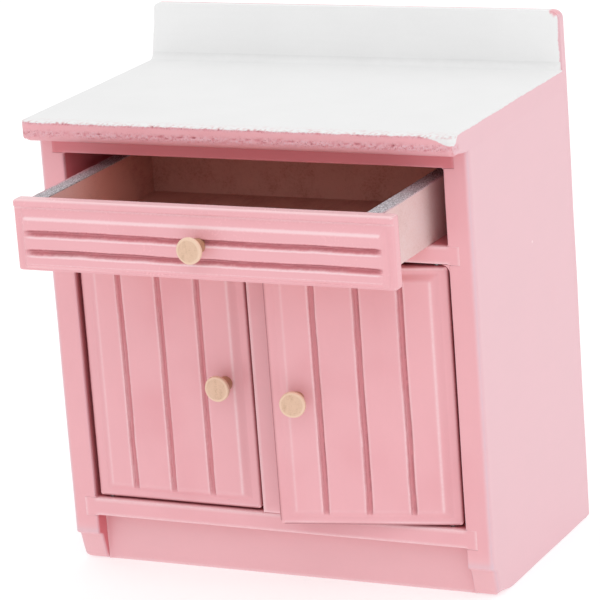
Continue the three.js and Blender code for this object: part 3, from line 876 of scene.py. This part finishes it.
def add_door(side, name, body, seed):
    pin = Vector(hinges[body.replace("leaf", "door_hinge")]["pos_m"])
    low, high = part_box(name)
    centre = Vector((pin.x + side * (PIVOT_TO_EDGE - DOOR_SIZE.x / 2), pin.y, (low.z + high.z) / 2))
    mesh = bake(grooved_board, {
        "Across": DOOR_SIZE.x, "Along": high.z - low.z, "Thickness": DOOR_SIZE.y, "Grooves": 3,
        "Pitch": DOOR_PITCH, "Shift": -DOOR_SHIFT if side < 0 else 0.0, "Groove Shadow": 1.0,
        "Low Border": DOOR_BORDER, "High Border": DOOR_BORDER, "Low Slope": DOOR_SLOPE,
        "High Slope": DOOR_SLOPE, "End Slope": 1.1 * MM, "Field Rise": 0.65 * MM,
        "Corner Radius": 0.9 * MM, "Seed": float(seed), "Material": door_paint,
    }, door_turn(side) @ Matrix.Translation(centre) @ GROOVES_UPRIGHT)
    finish_piece(mesh, name + "_board", body, "pink_paint", [name])


add_door(-1, "left_door", "left_leaf", 41)
add_door(1, "right_door", "right_leaf", 47)

# %% [markdown]
# ## Boards with an outline of their own
#
# Three shapes are not plain: the sides have a foot cut at the front and grooves for the shelves' ends,
# the worktop has a nose, and the back board has rounded corners. Here we lay the grid ourselves with
# numpy, and then bend it. `ruled` spaces the lines: close together at both ends and at any place we
# name, easing out to a wide step between. `slab` turns three such sets of lines into a closed box.

# %% Ruled lines, slabs and lumps
LINE_EASE = 0.22
FAR = math.inf            # a limit this far out leaves that side of a slab alone
SAME_POINT = 0.003 * MM     # less than any gap that is meant to stay


def ruled(low, high, step, fine, near=(), exact=()):
    """Places for grid lines, fine apart at the ends and near the named places, easing out to step."""
    samples = np.linspace(low, high, 4001)
    away = np.min([abs(samples - place) for place in (low, high, *near, *exact)], axis=0)
    density = 1 / np.minimum(step, fine + away * LINE_EASE)
    count = np.concatenate([[0], np.cumsum((density[1:] + density[:-1]) / 2 * np.diff(samples))])
    lines = np.interp(np.linspace(0, count[-1], math.ceil(count[-1]) + 1), count, samples)
    return np.unique(np.concatenate([lines, exact]))


def slab(xs, ys, zs):
    """A closed box over three sets of grid lines: its points, and its quads with their faces outwards."""
    shell = np.ones((len(xs), len(ys), len(zs)), bool)
    shell[1:-1, 1:-1, 1:-1] = False
    index = np.full(shell.shape, -1)
    index[shell] = np.arange(shell.sum())
    points = np.stack(np.meshgrid(xs, ys, zs, indexing="ij"), -1)[shell]
    quads = []
    for axis in range(3):
        for end in (0, -1):
            sheet = np.take(index, end, axis=axis)
            corners = [sheet[:-1, :-1], sheet[1:, :-1], sheet[1:, 1:], sheet[:-1, 1:]]
            if (end == 0) != (axis == 1):
                corners.reverse()
            quads.append(np.stack(corners, -1).reshape(-1, 4))
    return points, np.concatenate(quads)


def soften(points, low, high, radius):
    """Bends square corners to a radius. A limit of infinity leaves that side alone."""
    inner = np.clip(points, np.add(low, radius), np.subtract(high, radius))
    over = points - inner
    largest = abs(over).max(axis=1, keepdims=True)
    length = np.maximum(np.linalg.norm(over, axis=1, keepdims=True), 1e-12)
    bend = np.where(largest > 0, largest / length, 1)
    return inner + over * bend, np.clip((1 - bend[:, 0]) / FULL_BEND, 0, 1)


def lumps(points, size, seed):
    """Smooth noise from -1 to 1: random numbers on a lattice, blended between."""
    table = np.random.default_rng(seed).uniform(-1, 1, (32, 32, 32))
    cell = np.floor(points / size).astype(int)
    part = points / size - cell
    part = part * part * (3 - 2 * part)
    total = np.zeros(len(points))
    for corner in np.ndindex(2, 2, 2):
        weight = np.where(corner, part, 1 - part).prod(axis=1)
        at = (cell + corner) % 32
        total += weight * table[at[:, 0], at[:, 1], at[:, 2]]
    return total


def lumps_each_way(points, size, seed):
    return np.stack([lumps(points, size, seed + axis) for axis in range(3)], -1)


def waved(points, amount, seed, freedom):
    """Points moved a little, as by hand sanding, but not where freedom is 0, at a painted joint."""
    return points + amount * lumps_each_way(points, WAVE_SIZE, seed) * freedom[:, None]


def smoothstep(values, start, end):
    share = np.clip((values - start) / (end - start), 0, 1)
    return share * share * (3 - 2 * share)


def store(mesh, attributes):
    for name, values in attributes.items():
        mesh.attributes.new(name, "FLOAT", "POINT").data.foreach_set("value", values)


def solid_mesh(points, quads, material, attributes):
    """A mesh of points and quads, with doubled points merged and float attributes stored."""
    mesh = bpy.data.meshes.new("solid")
    mesh.from_pydata(points.tolist(), [], quads.tolist())
    store(mesh, attributes)
    mesh.materials.append(material)
    work = bmesh.new()
    work.from_mesh(mesh)
    bmesh.ops.remove_doubles(work, verts=work.verts, dist=SAME_POINT)
    bmesh.ops.dissolve_degenerate(work, edges=work.edges, dist=SAME_POINT)
    work.to_mesh(mesh)
    work.free()
    return mesh


print("slab helpers ready")

# %% [markdown]
# A side panel is a slab whose front edge steps back near the floor, so that the cabinet stands on a
# foot. We write how far the edge stands back at each height, and slide the points near the front by
# that much. The shelves' ends sit in grooves called dadoes. Those are made by pushing the inner face
# outwards wherever a shelf's end is, which collapses some quads to nothing, and merging doubled
# points afterwards clears them away. The edges that meet the worktop and the back board stay square,
# because paint has run those joints over. What the coat of paint needs to know, such as which points
# belong to the front edge, is easiest to say before the shape is bent, so it is worked out here.

# %% Side panels
FOOT_TOP = 5.7 * MM
FOOT_STEP = 1.2 * MM
FOOT_STEP_DROP = 0.9 * MM
FOOT_BACK = 2.6 * MM
FOOT_RADIUS = 1.2 * MM
FOOT_BLEND = 9 * MM       # the foot's shape dies out this far behind the front edge
DADO_GAP = 0.05 * MM      # the joint line that shows, on the side of a board that takes no load
DADO_FIT = 0.004 * MM
DADO_WALL = 0.01 * MM
SIDE_EDGE_RADIUS = 0.3 * MM
SIDE_FRONT_RADIUS = 0.85 * MM
SIDE_TOE_RADIUS = 1.9 * MM
SIDE_HEEL_RADIUS = 0.1 * MM
dadoes = []
DADO_GAPS = {             # below and above the end of each board
    "bottom_board": (DADO_FIT, DADO_GAP), "drawer_shelf": (DADO_FIT, DADO_GAP), "top_rail": (DADO_GAP, 0)}
for name, (gap_below, gap_above) in DADO_GAPS.items():
    low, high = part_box(name)
    dadoes.append((low.z - gap_below, high.z + gap_above, high.y + DADO_FIT))
dado_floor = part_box("bottom_board")[1].x + DADO_FIT
print("dadoes in mm:", [[round(value / MM, 2) for value in dado] for dado in dadoes])


def foot_set_back(z):
    """How far the front edge of a side stands back at each height above the floor."""
    step = FOOT_STEP * (1 - smoothstep(z, FOOT_TOP - FOOT_STEP_DROP, FOOT_TOP))
    knee = FOOT_TOP - FOOT_STEP_DROP
    slope = (FOOT_BACK - FOOT_STEP) * np.clip(1 - z / knee, 0, 1)
    toe = np.clip(FOOT_RADIUS - z, 0, FOOT_RADIUS)
    return step + slope + FOOT_RADIUS - np.sqrt(FOOT_RADIUS ** 2 - toe ** 2)


def add_side_panel(side, node):
    low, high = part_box(node)
    turns = [z for dado in dadoes for z in dado[:2] if z < high.z]
    walls = [z + offset for z in turns for offset in (-DADO_WALL, DADO_WALL)]
    rail_back = dadoes[-1][2]
    xs = ruled(low.x, high.x, 1.2 * MM, 0.07 * MM, exact=[side * dado_floor])
    ys = ruled(low.y, high.y, 1.4 * MM, 0.07 * MM, exact=[rail_back - DADO_WALL, rail_back + DADO_WALL])
    zs = ruled(low.z, high.z, 1.0 * MM, 0.07 * MM, near=[FOOT_TOP, FOOT_TOP - FOOT_STEP_DROP], exact=walls)
    points, quads = slab(xs, ys, zs)
    outer_low = low.x if side < 0 else -FAR
    outer_high = high.x if side > 0 else FAR
    near_front = 1 - smoothstep(points[:, 1], low.y, low.y + FOOT_BLEND)
    toe = SIDE_HEEL_RADIUS + (SIDE_TOE_RADIUS - SIDE_HEEL_RADIUS) * near_front[:, None]
    shaped, _ = soften(points, (outer_low, -FAR, low.z), (outer_high, FAR, FAR), toe)
    shaped, front_arris = soften(shaped, (outer_low, low.y, -FAR), (outer_high, FAR, FAR), SIDE_FRONT_RADIUS)
    shaped, arris = soften(shaped, (low.x, low.y, low.z), (high.x, FAR, FAR), SIDE_EDGE_RADIUS)
    from_worktop, from_back = high.z - points[:, 2], high.y - points[:, 1]
    freedom = smoothstep(from_worktop, 0.3 * MM, 6 * MM) * smoothstep(from_back, 0.3 * MM, 6 * MM)
    shaped = np.clip(waved(shaped, 0.05 * MM, 60 + side, freedom), low, high)
    shaped[:, 1] += foot_set_back(shaped[:, 2]) * near_front
    out = side * shaped[:, 0]
    for dado_low, dado_high, dado_back in dadoes:
        inside = (points[:, 2] > dado_low) & (points[:, 2] < dado_high) & (points[:, 1] < dado_back)
        out = np.where(inside, np.maximum(out, dado_floor), out)
    shaped[:, 0] = side * out
    from_outer = (high.x - points[:, 0]) if side > 0 else (points[:, 0] - low.x)
    behind = points[:, 1] - low.y
    front = smoothstep(from_outer, 0.2 * MM, 0.9 * MM) * (1 - smoothstep(behind, 0.05 * MM, 0.5 * MM))
    # where the coat puts painted shade on the inner face
    inner = smoothstep(from_outer, 3.6 * MM, 4.2 * MM) * smoothstep(behind, 0.35 * MM, 0.9 * MM)
    # painted highlight along the front arris and the foot's ledge, broken up by noise
    broken_up = smoothstep(lumps(points, 1.6 * MM, seed=66 + side), -0.6, 0.5)
    ledge = np.exp(-((points[:, 2] - FOOT_TOP - 0.3 * MM) / (0.6 * MM)) ** 2) * (behind < 0.6 * MM)
    lilac = np.clip(front_arris * 0.55 * (0.3 + 0.7 * broken_up) + ledge * 0.45, 0, 1)
    attributes = {"arris": arris * 0.7, "front": front, "inner": inner, "lilac": lilac}
    mesh = solid_mesh(shaped, quads, side_paint, attributes)
    finish_piece(mesh, node.replace("panel", "board"), "carcass", "pink_paint", [node])


add_side_panel(-1, "left_side_panel")
add_side_panel(1, "right_side_panel")

# %% [markdown]
# The worktop's front edge shows what it is made of. It is fibreboard, and where the router rounded it
# and the paint soaked in, the surface stayed rough and pitted, mostly along the middle of the edge
# and along the upper arris. That roughness is real relief, so it goes into the mesh: fine lines
# there, and lumps of a few tenths of a millimetre pushed inwards. The ends and the back of the board
# stay square and still, because they are painted flush with the sides and the back board.

# %% Worktop
NOSE_RADIUS = 1.7 * MM
NOSE_CORNER_RADIUS = 1.1 * MM
WORKTOP_ARRIS = 0.4 * MM
NOSE_DEPTH = 3 * MM       # the rough edge dies out this far behind the front
PIT_DEPTH = 0.3 * MM


def add_worktop():
    low, high = worktop_low, worktop_high
    xs = ruled(low.x, high.x, 0.28 * MM, 0.07 * MM)
    ys = ruled(low.y, high.y, 1.4 * MM, 0.07 * MM, near=[low.y + 0.8 * MM, low.y + 1.7 * MM])
    zs = ruled(low.z, high.z, 0.14 * MM, 0.07 * MM)
    points, quads = slab(xs, ys, zs)
    shaped, _ = soften(points, (-FAR, low.y, low.z), (FAR, FAR, FAR), NOSE_RADIUS)
    at_front = 1 - smoothstep(points[:, 1:2], low.y + 2 * MM, low.y + 5 * MM)
    end_radius = 0.01 * MM + NOSE_CORNER_RADIUS * at_front
    shaped, _ = soften(shaped, (low.x, -FAR, low.z), (high.x, FAR, FAR), end_radius)
    shaped, _ = soften(shaped, (low.x, low.y, -FAR), (high.x, FAR, FAR), NOSE_CORNER_RADIUS)
    shaped, arris = soften(shaped, (low.x, low.y, -FAR), (high.x, FAR, high.z), WORKTOP_ARRIS)
    freedom = smoothstep(points[:, 2], low.z, low.z + 2 * MM) * smoothstep(high.y - points[:, 1], 0, 4 * MM)
    shaped = waved(shaped, 0.06 * MM, 70, freedom)
    front = 1 - smoothstep(shaped[:, 1], low.y + 0.5 * MM, low.y + NOSE_DEPTH)
    height = (shaped[:, 2] - low.z) / (high.z - low.z)
    band = np.exp(-((height - 0.42) / 0.15) ** 2) + 0.9 * np.exp(-((height - 0.92) / 0.08) ** 2)
    patch = smoothstep(lumps(shaped * (1, 1, 2), 5 * MM, seed=73), -0.9, 0.2)
    pits = np.clip(lumps(shaped * (1, 1, 1.6), 0.55 * MM, seed=74) - 0.15, 0, 1)
    pits += 0.6 * np.clip(lumps(shaped, 0.3 * MM, seed=75), 0, 1)
    reach = front * np.clip(band, 0, 1) * (0.25 + 0.75 * patch)
    sunk = PIT_DEPTH * pits * reach
    shaped[:, 1] += sunk
    shaped = np.clip(shaped, low, high)
    attributes = {"arris": arris * 0.5, "hollow": np.clip(sunk / (0.14 * MM), 0, 1),
                  "pit": smoothstep(pits * reach, 0.35, 0.8), "rough": np.clip(reach * 1.1, 0, 1)}
    mesh = solid_mesh(shaped, quads, worktop_paint, attributes)
    finish_piece(mesh, "worktop_board", "carcass", "white_paint", ["worktop"])
    print("deepest pit in the worktop:", round(sunk.max() / MM, 2), "mm")


add_worktop()

# %% [markdown]
# The back board closes the back of the cabinet, and its top end stands up behind the worktop as the
# backsplash. Its upper corners were rounded by hand, so the two radii differ, and the left end leans
# in a little. `soften` rounds the corners seen from the front first, then every arris.

# %% Back board
LEFT_CORNER_RADIUS = 1.1 * MM
RIGHT_CORNER_RADIUS = 1.7 * MM
LEFT_LEAN = 1.2 * MM
LEAN_WIDTH = 12 * MM
BACK_ARRIS = 0.18 * MM


def add_back_board():
    low, high = splash_low, splash_high
    xs = ruled(low.x, high.x, 0.8 * MM, 0.07 * MM)
    ys = ruled(low.y, high.y, 0.3 * MM, 0.06 * MM)
    zs = ruled(low.z, high.z, 1.2 * MM, 0.07 * MM, near=[worktop_high.z])
    points, quads = slab(xs, ys, zs)
    shaped, _ = soften(points, (low.x, -FAR, -FAR), (FAR, FAR, high.z), LEFT_CORNER_RADIUS)
    shaped, _ = soften(shaped, (-FAR, -FAR, -FAR), (high.x, FAR, high.z), RIGHT_CORNER_RADIUS)
    shaped, arris = soften(shaped, (low.x, -FAR, low.z), (high.x, high.y, high.z), BACK_ARRIS)
    above = smoothstep(points[:, 2:3], worktop_high.z - 0.3 * MM, worktop_high.z + 0.3 * MM)
    shaped, _ = soften(shaped, (low.x, low.y, -FAR), (high.x, FAR, FAR), 0.003 * MM + BACK_ARRIS * above)
    freedom = np.maximum(smoothstep(points[:, 1] - low.y, 0.2 * MM, 1.2 * MM), above[:, 0])
    shaped = np.clip(waved(shaped, 0.06 * MM, 80, freedom), low, high)
    above = smoothstep(shaped[:, 2], worktop_high.z - 2 * MM, high.z)
    shaped[:, 0] += LEFT_LEAN * above * (1 - smoothstep(shaped[:, 0], low.x, low.x + LEAN_WIDTH))
    mesh = solid_mesh(shaped, quads, back_paint, {"arris": arris})
    finish_piece(mesh, "back_board", "carcass", "pink_paint", ["back_panel"])


add_back_board()

# %% [markdown]
# ## Turned parts
#
# Knobs come off a lathe, so a knob is a profile turned about an axis. We write the profile as a path
# of straight runs and arcs, then turn it ourselves: one ring of points for each point of the profile,
# and a single point where the profile meets the axis, so that no pole is left open. A little smooth
# noise keeps a knob from looking machined. The steel pins are turned the same way, without it.

# %% Lathe
RING_POINTS = 72
TURNED_WAVE_SIZE = 1.2 * MM


def arc(centre, radius, start, end, steps=7):
    """Points on an arc, from one angle to another in degrees, as (radius, height) pairs."""
    angles = np.radians(np.linspace(start, end, steps))
    return [(centre[0] + radius * math.cos(a), centre[1] + radius * math.sin(a)) for a in angles]


def turned(profile, material, uneven=0.0, seed=0):
    """A solid turned about Z. The profile runs from the bottom of the axis to its top."""
    inner = profile[1:-1]
    points = [(0, 0, profile[0][1])]
    for radius, height in inner:
        for step in range(RING_POINTS):
            angle = 2 * math.pi * step / RING_POINTS
            points.append((radius * math.cos(angle), radius * math.sin(angle), height))
    points.append((0, 0, profile[-1][1]))
    last = len(points) - 1
    faces = []
    for step in range(RING_POINTS):
        after = (step + 1) % RING_POINTS
        faces.append((0, 1 + after, 1 + step))
        for ring in range(len(inner) - 1):
            here = 1 + ring * RING_POINTS
            above = here + RING_POINTS
            faces.append((here + step, here + after, above + after, above + step))
        top = 1 + (len(inner) - 1) * RING_POINTS
        faces.append((top + step, top + after, last))
    mesh = bpy.data.meshes.new("turned")
    shape = np.array(points)
    wave = uneven * lumps_each_way(shape + 1, TURNED_WAVE_SIZE, seed)
    mesh.from_pydata((shape + wave).tolist(), [], faces)
    store(mesh, {"from_axis": np.hypot(shape[:, 0], shape[:, 1]), "along": shape[:, 2]})
    mesh.materials.append(material)
    return mesh


print("lathe ready,", RING_POINTS, "points a ring")

# %% [markdown]
# A knob here is a thin disc that flares out of a short neck, with a peg that is glued into the board.
# The flare is a curve drawn by three points: it leaves the first, is pulled towards the second and
# ends at the third, by weights that change on the way. The face is very slightly domed. The knob is
# turned standing up, so a matrix lays it down to point forwards, and a door's knob turns with its door.

# %% Knobs
KNOB_FLARE_LENGTH = 1.4 * MM
KNOB_FLARE_RADIUS = 1.55 * MM
KNOB_NECK = 1.25 * MM
KNOB_PEG = 0.86 * MM
KNOB_PEG_LENGTH = 1.55 * MM
KNOB_DOME = 0.06 * MM


def knob_profile():
    """From the peg's end, out along the flare and round the disc, to the middle of the face."""
    rim_back = KNOB_REACH - KNOB_RIM
    rim_front = KNOB_REACH - KNOB_DOME
    peg_round, face_round, back_round = 0.15 * MM, 0.3 * MM, 0.1 * MM
    profile = [(0, -KNOB_PEG_LENGTH)]
    profile += arc((KNOB_PEG - peg_round, peg_round - KNOB_PEG_LENGTH), peg_round, -90, 0, 4)
    profile += [(KNOB_PEG, 0), (KNOB_NECK, 0.02 * MM)]
    start, bend = (KNOB_NECK, rim_back - KNOB_FLARE_LENGTH), (KNOB_FLARE_RADIUS, rim_back)
    end = (KNOB_RADIUS - back_round, rim_back)
    for share in np.linspace(0, 1, 12)[:-1]:
        weights = ((1 - share) ** 2, 2 * share * (1 - share), share ** 2)
        profile.append(tuple(np.dot(weights, (start, bend, end))))
    profile += arc((KNOB_RADIUS - back_round, rim_back + back_round), back_round, -90, 0, 4)
    profile += arc((KNOB_RADIUS - face_round, rim_front - face_round), face_round, 0, 84)
    for share in (0.75, 0.5, 0.25):
        radius = (KNOB_RADIUS - face_round) * share
        profile.append((radius, KNOB_REACH - KNOB_DOME * (radius / KNOB_RADIUS) ** 2))
    return profile + [(0, KNOB_REACH)]


def add_knob(node, body, front, seed, turn=Matrix.Identity(4)):
    """front is the middle of the knob's seat on its board, before any turn."""
    mesh = turned(knob_profile(), birch, uneven=0.03 * MM, seed=seed)
    mesh.transform(turn @ Matrix.Translation(front) @ Matrix.Rotation(math.radians(90), 4, "X"))
    finish_piece(mesh, node + "_turned", body, "turned_birch", [node])


low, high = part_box("drawer_knob")
add_knob("drawer_knob", "drawer", Vector((0, low.y + KNOB_REACH, (low.z + high.z) / 2)), 90)

KNOB_FROM_FREE_EDGE = 4.6 * MM
for side, leaf, seed in ((-1, "left", 94), (1, "right", 98)):
    pin = Vector(hinges[leaf + "_door_hinge"]["pos_m"])
    low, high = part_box(leaf + "_door_knob")
    from_pin = DOOR_SIZE.x - PIVOT_TO_EDGE - KNOB_FROM_FREE_EDGE
    seat = Vector((pin.x - side * from_pin, pin.y - DOOR_SIZE.y / 2, (low.z + high.z) / 2))
    add_knob(leaf + "_door_knob", leaf + "_leaf", seat, seed, door_turn(side))

# %% [markdown]
# Each door turns on two short steel pins, one driven into its top and one into its bottom, that run
# in holes in the boards above and below. They are nearly hidden, but they are there when the door
# opens, so they get chamfered ends and a drawn-wire finish.

# %% Hinge pins
PIN_CHAMFER = 0.1 * MM

for leaf in ("left", "right"):
    for end in ("top", "bottom"):
        node = f"{leaf}_door_{end}_pin"
        low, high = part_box(node)
        radius = (high.x - low.x) / 2
        length = high.z - low.z
        profile = [(0, 0), (radius - PIN_CHAMFER, 0), (radius, PIN_CHAMFER), (radius, length / 2),
                   (radius, length - PIN_CHAMFER), (radius - PIN_CHAMFER, length), (0, length)]
        mesh = turned(profile, steel)
        mesh.transform(Matrix.Translation(((low.x + high.x) / 2, (low.y + high.y) / 2, low.z)))
        finish_piece(mesh, node + "_turned", leaf + "_leaf", "steel_pin", [node])
print("pins:", round(radius * 2 / MM, 2), "mm thick")

# %% [markdown]
# ## Paint in the corners
#
# Thick paint does not leave a sharp inside corner. It draws itself into a small hollow curve, which is
# easy to see in the corners of the openings and along the foot of the backsplash. Each one is a thin
# bar whose section is a triangle with a hollow long side, a quarter of a circle. Most are fine, the
# one along the backsplash is wider, and one corner of the cupboard took far more paint than the rest.

# %% Fillets of paint
def fillet(corner, along, length, first, second, radius, material, steps=8, rows=2):
    """A bar of paint in an inside corner: it runs along one direction and fills the angle of two."""
    corner, along, first, second = (Vector(v) for v in (corner, along, first, second))
    angles = [math.radians(90 * step / steps) for step in range(steps + 1)]
    section = [first * radius * (1 - math.sin(a)) + second * radius * (1 - math.cos(a)) for a in angles]
    sunk = -(first + second) * 0.02 * MM
    ring = [sunk, *section]
    points = [corner + along * length * row / rows + offset for row in range(rows + 1) for offset in ring]
    count = len(ring)
    faces = [tuple(range(count)), tuple(range(rows * count, (rows + 1) * count))[::-1]]
    for row in range(rows):
        for step in range(count):
            after = (step + 1) % count
            here = row * count
            faces.append((here + after, here + step, here + count + step, here + count + after))
    mesh = bpy.data.meshes.new("fillet")
    mesh.from_pydata(points, [], faces)
    mesh.materials.append(material)
    work = bmesh.new()
    work.from_mesh(mesh)
    bmesh.ops.recalc_face_normals(work, faces=work.faces)
    work.to_mesh(mesh)
    work.free()
    return mesh


OPENING_FILLET = 0.33 * MM
THICK_FILLET = 1.3 * MM
FILLET_DEPTH = 1.1 * MM
left_low, left_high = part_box("left_side_panel")
right_low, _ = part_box("right_side_panel")
shelf_low, shelf_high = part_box("drawer_shelf")
_, floor_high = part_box("bottom_board")
rail_low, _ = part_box("top_rail")
stile_low, stile_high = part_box("centre_stile")
UP = Vector((0, 0, 1))
DOWN = -UP
RIGHT = Vector((1, 0, 0))
LEFT = -RIGHT

OPENINGS = {              # bottom, top, left and right of each, and 1 if it is seen from inside
    "drawer_opening": (shelf_high.z, rail_low.z, left_high.x, right_low.x, 1),
    "cupboard": (floor_high.z, shelf_low.z, left_high.x, right_low.x, 1),
    "stile": (floor_high.z, shelf_low.z, stile_low.x, stile_high.x, -1),
}
corners = {}
for name, (bottom, top, left, right, inwards) in OPENINGS.items():
    for level, z, upright in (("upper", top, DOWN), ("lower", bottom, UP)):
        corners[f"{name}_{level}_left"] = (left, z, RIGHT * inwards, upright)
        corners[f"{name}_{level}_right"] = (right, z, LEFT * inwards, upright)

for name, (x, z, sideways, upright) in corners.items():
    radius = THICK_FILLET if name == "cupboard_upper_right" else OPENING_FILLET
    start = (x, left_low.y + 0.12 * MM, z)
    mesh = fillet(start, (0, 1, 0), FILLET_DEPTH, sideways, upright, radius, carcass_paint)
    finish_piece(mesh, "paint_fillet_" + name, "carcass", "pink_paint", [])

start = (worktop_low.x + 0.3 * MM, worktop_high.y, worktop_high.z)
length = worktop_high.x - worktop_low.x - 0.6 * MM
mesh = fillet(start, RIGHT, length, (0, -1, 0), UP, THICK_FILLET, white_paint, rows=40)
finish_piece(mesh, "paint_fillet_backsplash", "carcass", "white_paint", [])
print("fillets:", len(corners) + 1)

# %% [markdown]
# ## The studio
#
# The cabinet stands on a plain pale floor in soft light from all round, so its shadows are faint and
# no highlight is hard. The floor is a light table: it glows a little, which thins the shadows more. A
# bright sky gives most of the light, and more of it comes from overhead, so the worktop is the
# lightest face. A soft light over the right shoulder and a second one from the right give the arrises
# something to catch.

# %% Floor and lights
FLOOR_GLOW = 0.5


def studio_floor():
    material, bench, where = new_material("studio_floor")
    grain = bench.noise(where, 2 * MM, detail=3)
    colour = bench.blend(FLOOR_WORN, FLOOR, grain)
    constants = {"Emission Color": (1, 1, 1, 1), "Emission Strength": FLOOR_GLOW}
    finish_material(bench, colour, 0.9 + 0.05 * grain, grain, 0.01 * MM, constants)
    return material


FLOOR_HALF = 3.0
FLOOR_DROP = 0.02 * MM
floor_mesh = bpy.data.meshes.new("studio_floor")
floor_corners = [(-1, -1), (1, -1), (1, 1), (-1, 1)]
floor_points = [(x * FLOOR_HALF, y * FLOOR_HALF, -FLOOR_DROP) for x, y in floor_corners]
floor_mesh.from_pydata(floor_points, [], [(0, 1, 2, 3)])
floor_mesh.materials.append(studio_floor())
floor = bpy.data.objects.new("studio_floor", floor_mesh)
collection.objects.link(floor)
floor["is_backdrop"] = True


def add_softbox(name, azimuth, elevation, distance, size, power):
    """A square light that looks at the middle of the cabinet."""
    data = bpy.data.lights.new(name, "AREA")
    data.size = size
    data.energy = power
    light = bpy.data.objects.new(name, data)
    a, e = math.radians(azimuth), math.radians(elevation)
    back = Vector((math.sin(a) * math.cos(e), -math.cos(a) * math.cos(e), math.sin(e)))
    light.location = middle + back * distance
    light.rotation_mode = "QUATERNION"
    light.rotation_quaternion = (-back).to_track_quat("-Z", "Y")
    collection.objects.link(light)


SKY_LOW = 0.7
SKY_HIGH = 1.05
world = bpy.data.worlds.new("studio_sky")
bpy.context.scene.world = world
world.use_nodes = True
world.node_tree.nodes.clear()
sky = Bench(world.node_tree)
height = sky.split(sky.add("ShaderNodeTexCoord", output="Generated"))[2]
overhead = SKY_LOW + (SKY_HIGH - SKY_LOW) * height.rise(0, 0.8)
backdrop = sky.add("ShaderNodeBackground", sockets={"Color": (1, 1, 1, 1), "Strength": overhead})
sky.add("ShaderNodeOutputWorld", sockets={"Surface": backdrop})
add_softbox("key_light", azimuth=35, elevation=58, distance=0.7, size=0.45, power=0.4)
add_softbox("side_light", azimuth=80, elevation=22, distance=0.8, size=0.5, power=0.12)
bpy.context.scene.view_settings.view_transform = "Standard"
print("sky strength", SKY_LOW, "at the horizon and", SKY_HIGH, "overhead")

# %% [markdown]
# ## The size at the end
#
# Dressing must not change the cabinet's size, so we measure the box of the dressed model, gather it
# with the box we started from, and print it with the number of pieces and triangles.

# %% Size and finish
visual_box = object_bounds()
triangles = sum(len(polygon.vertices) - 2 for piece in made for polygon in piece.data.polygons)
boxes = {"cad": cad_box, "visual": visual_box}
{name: [list(corner) for corner in box] for name, box in boxes.items()}
print("pieces:", len(made), "triangles:", triangles)
print("dressed box in mm:", [[round(value / MM, 2) for value in corner] for corner in visual_box])
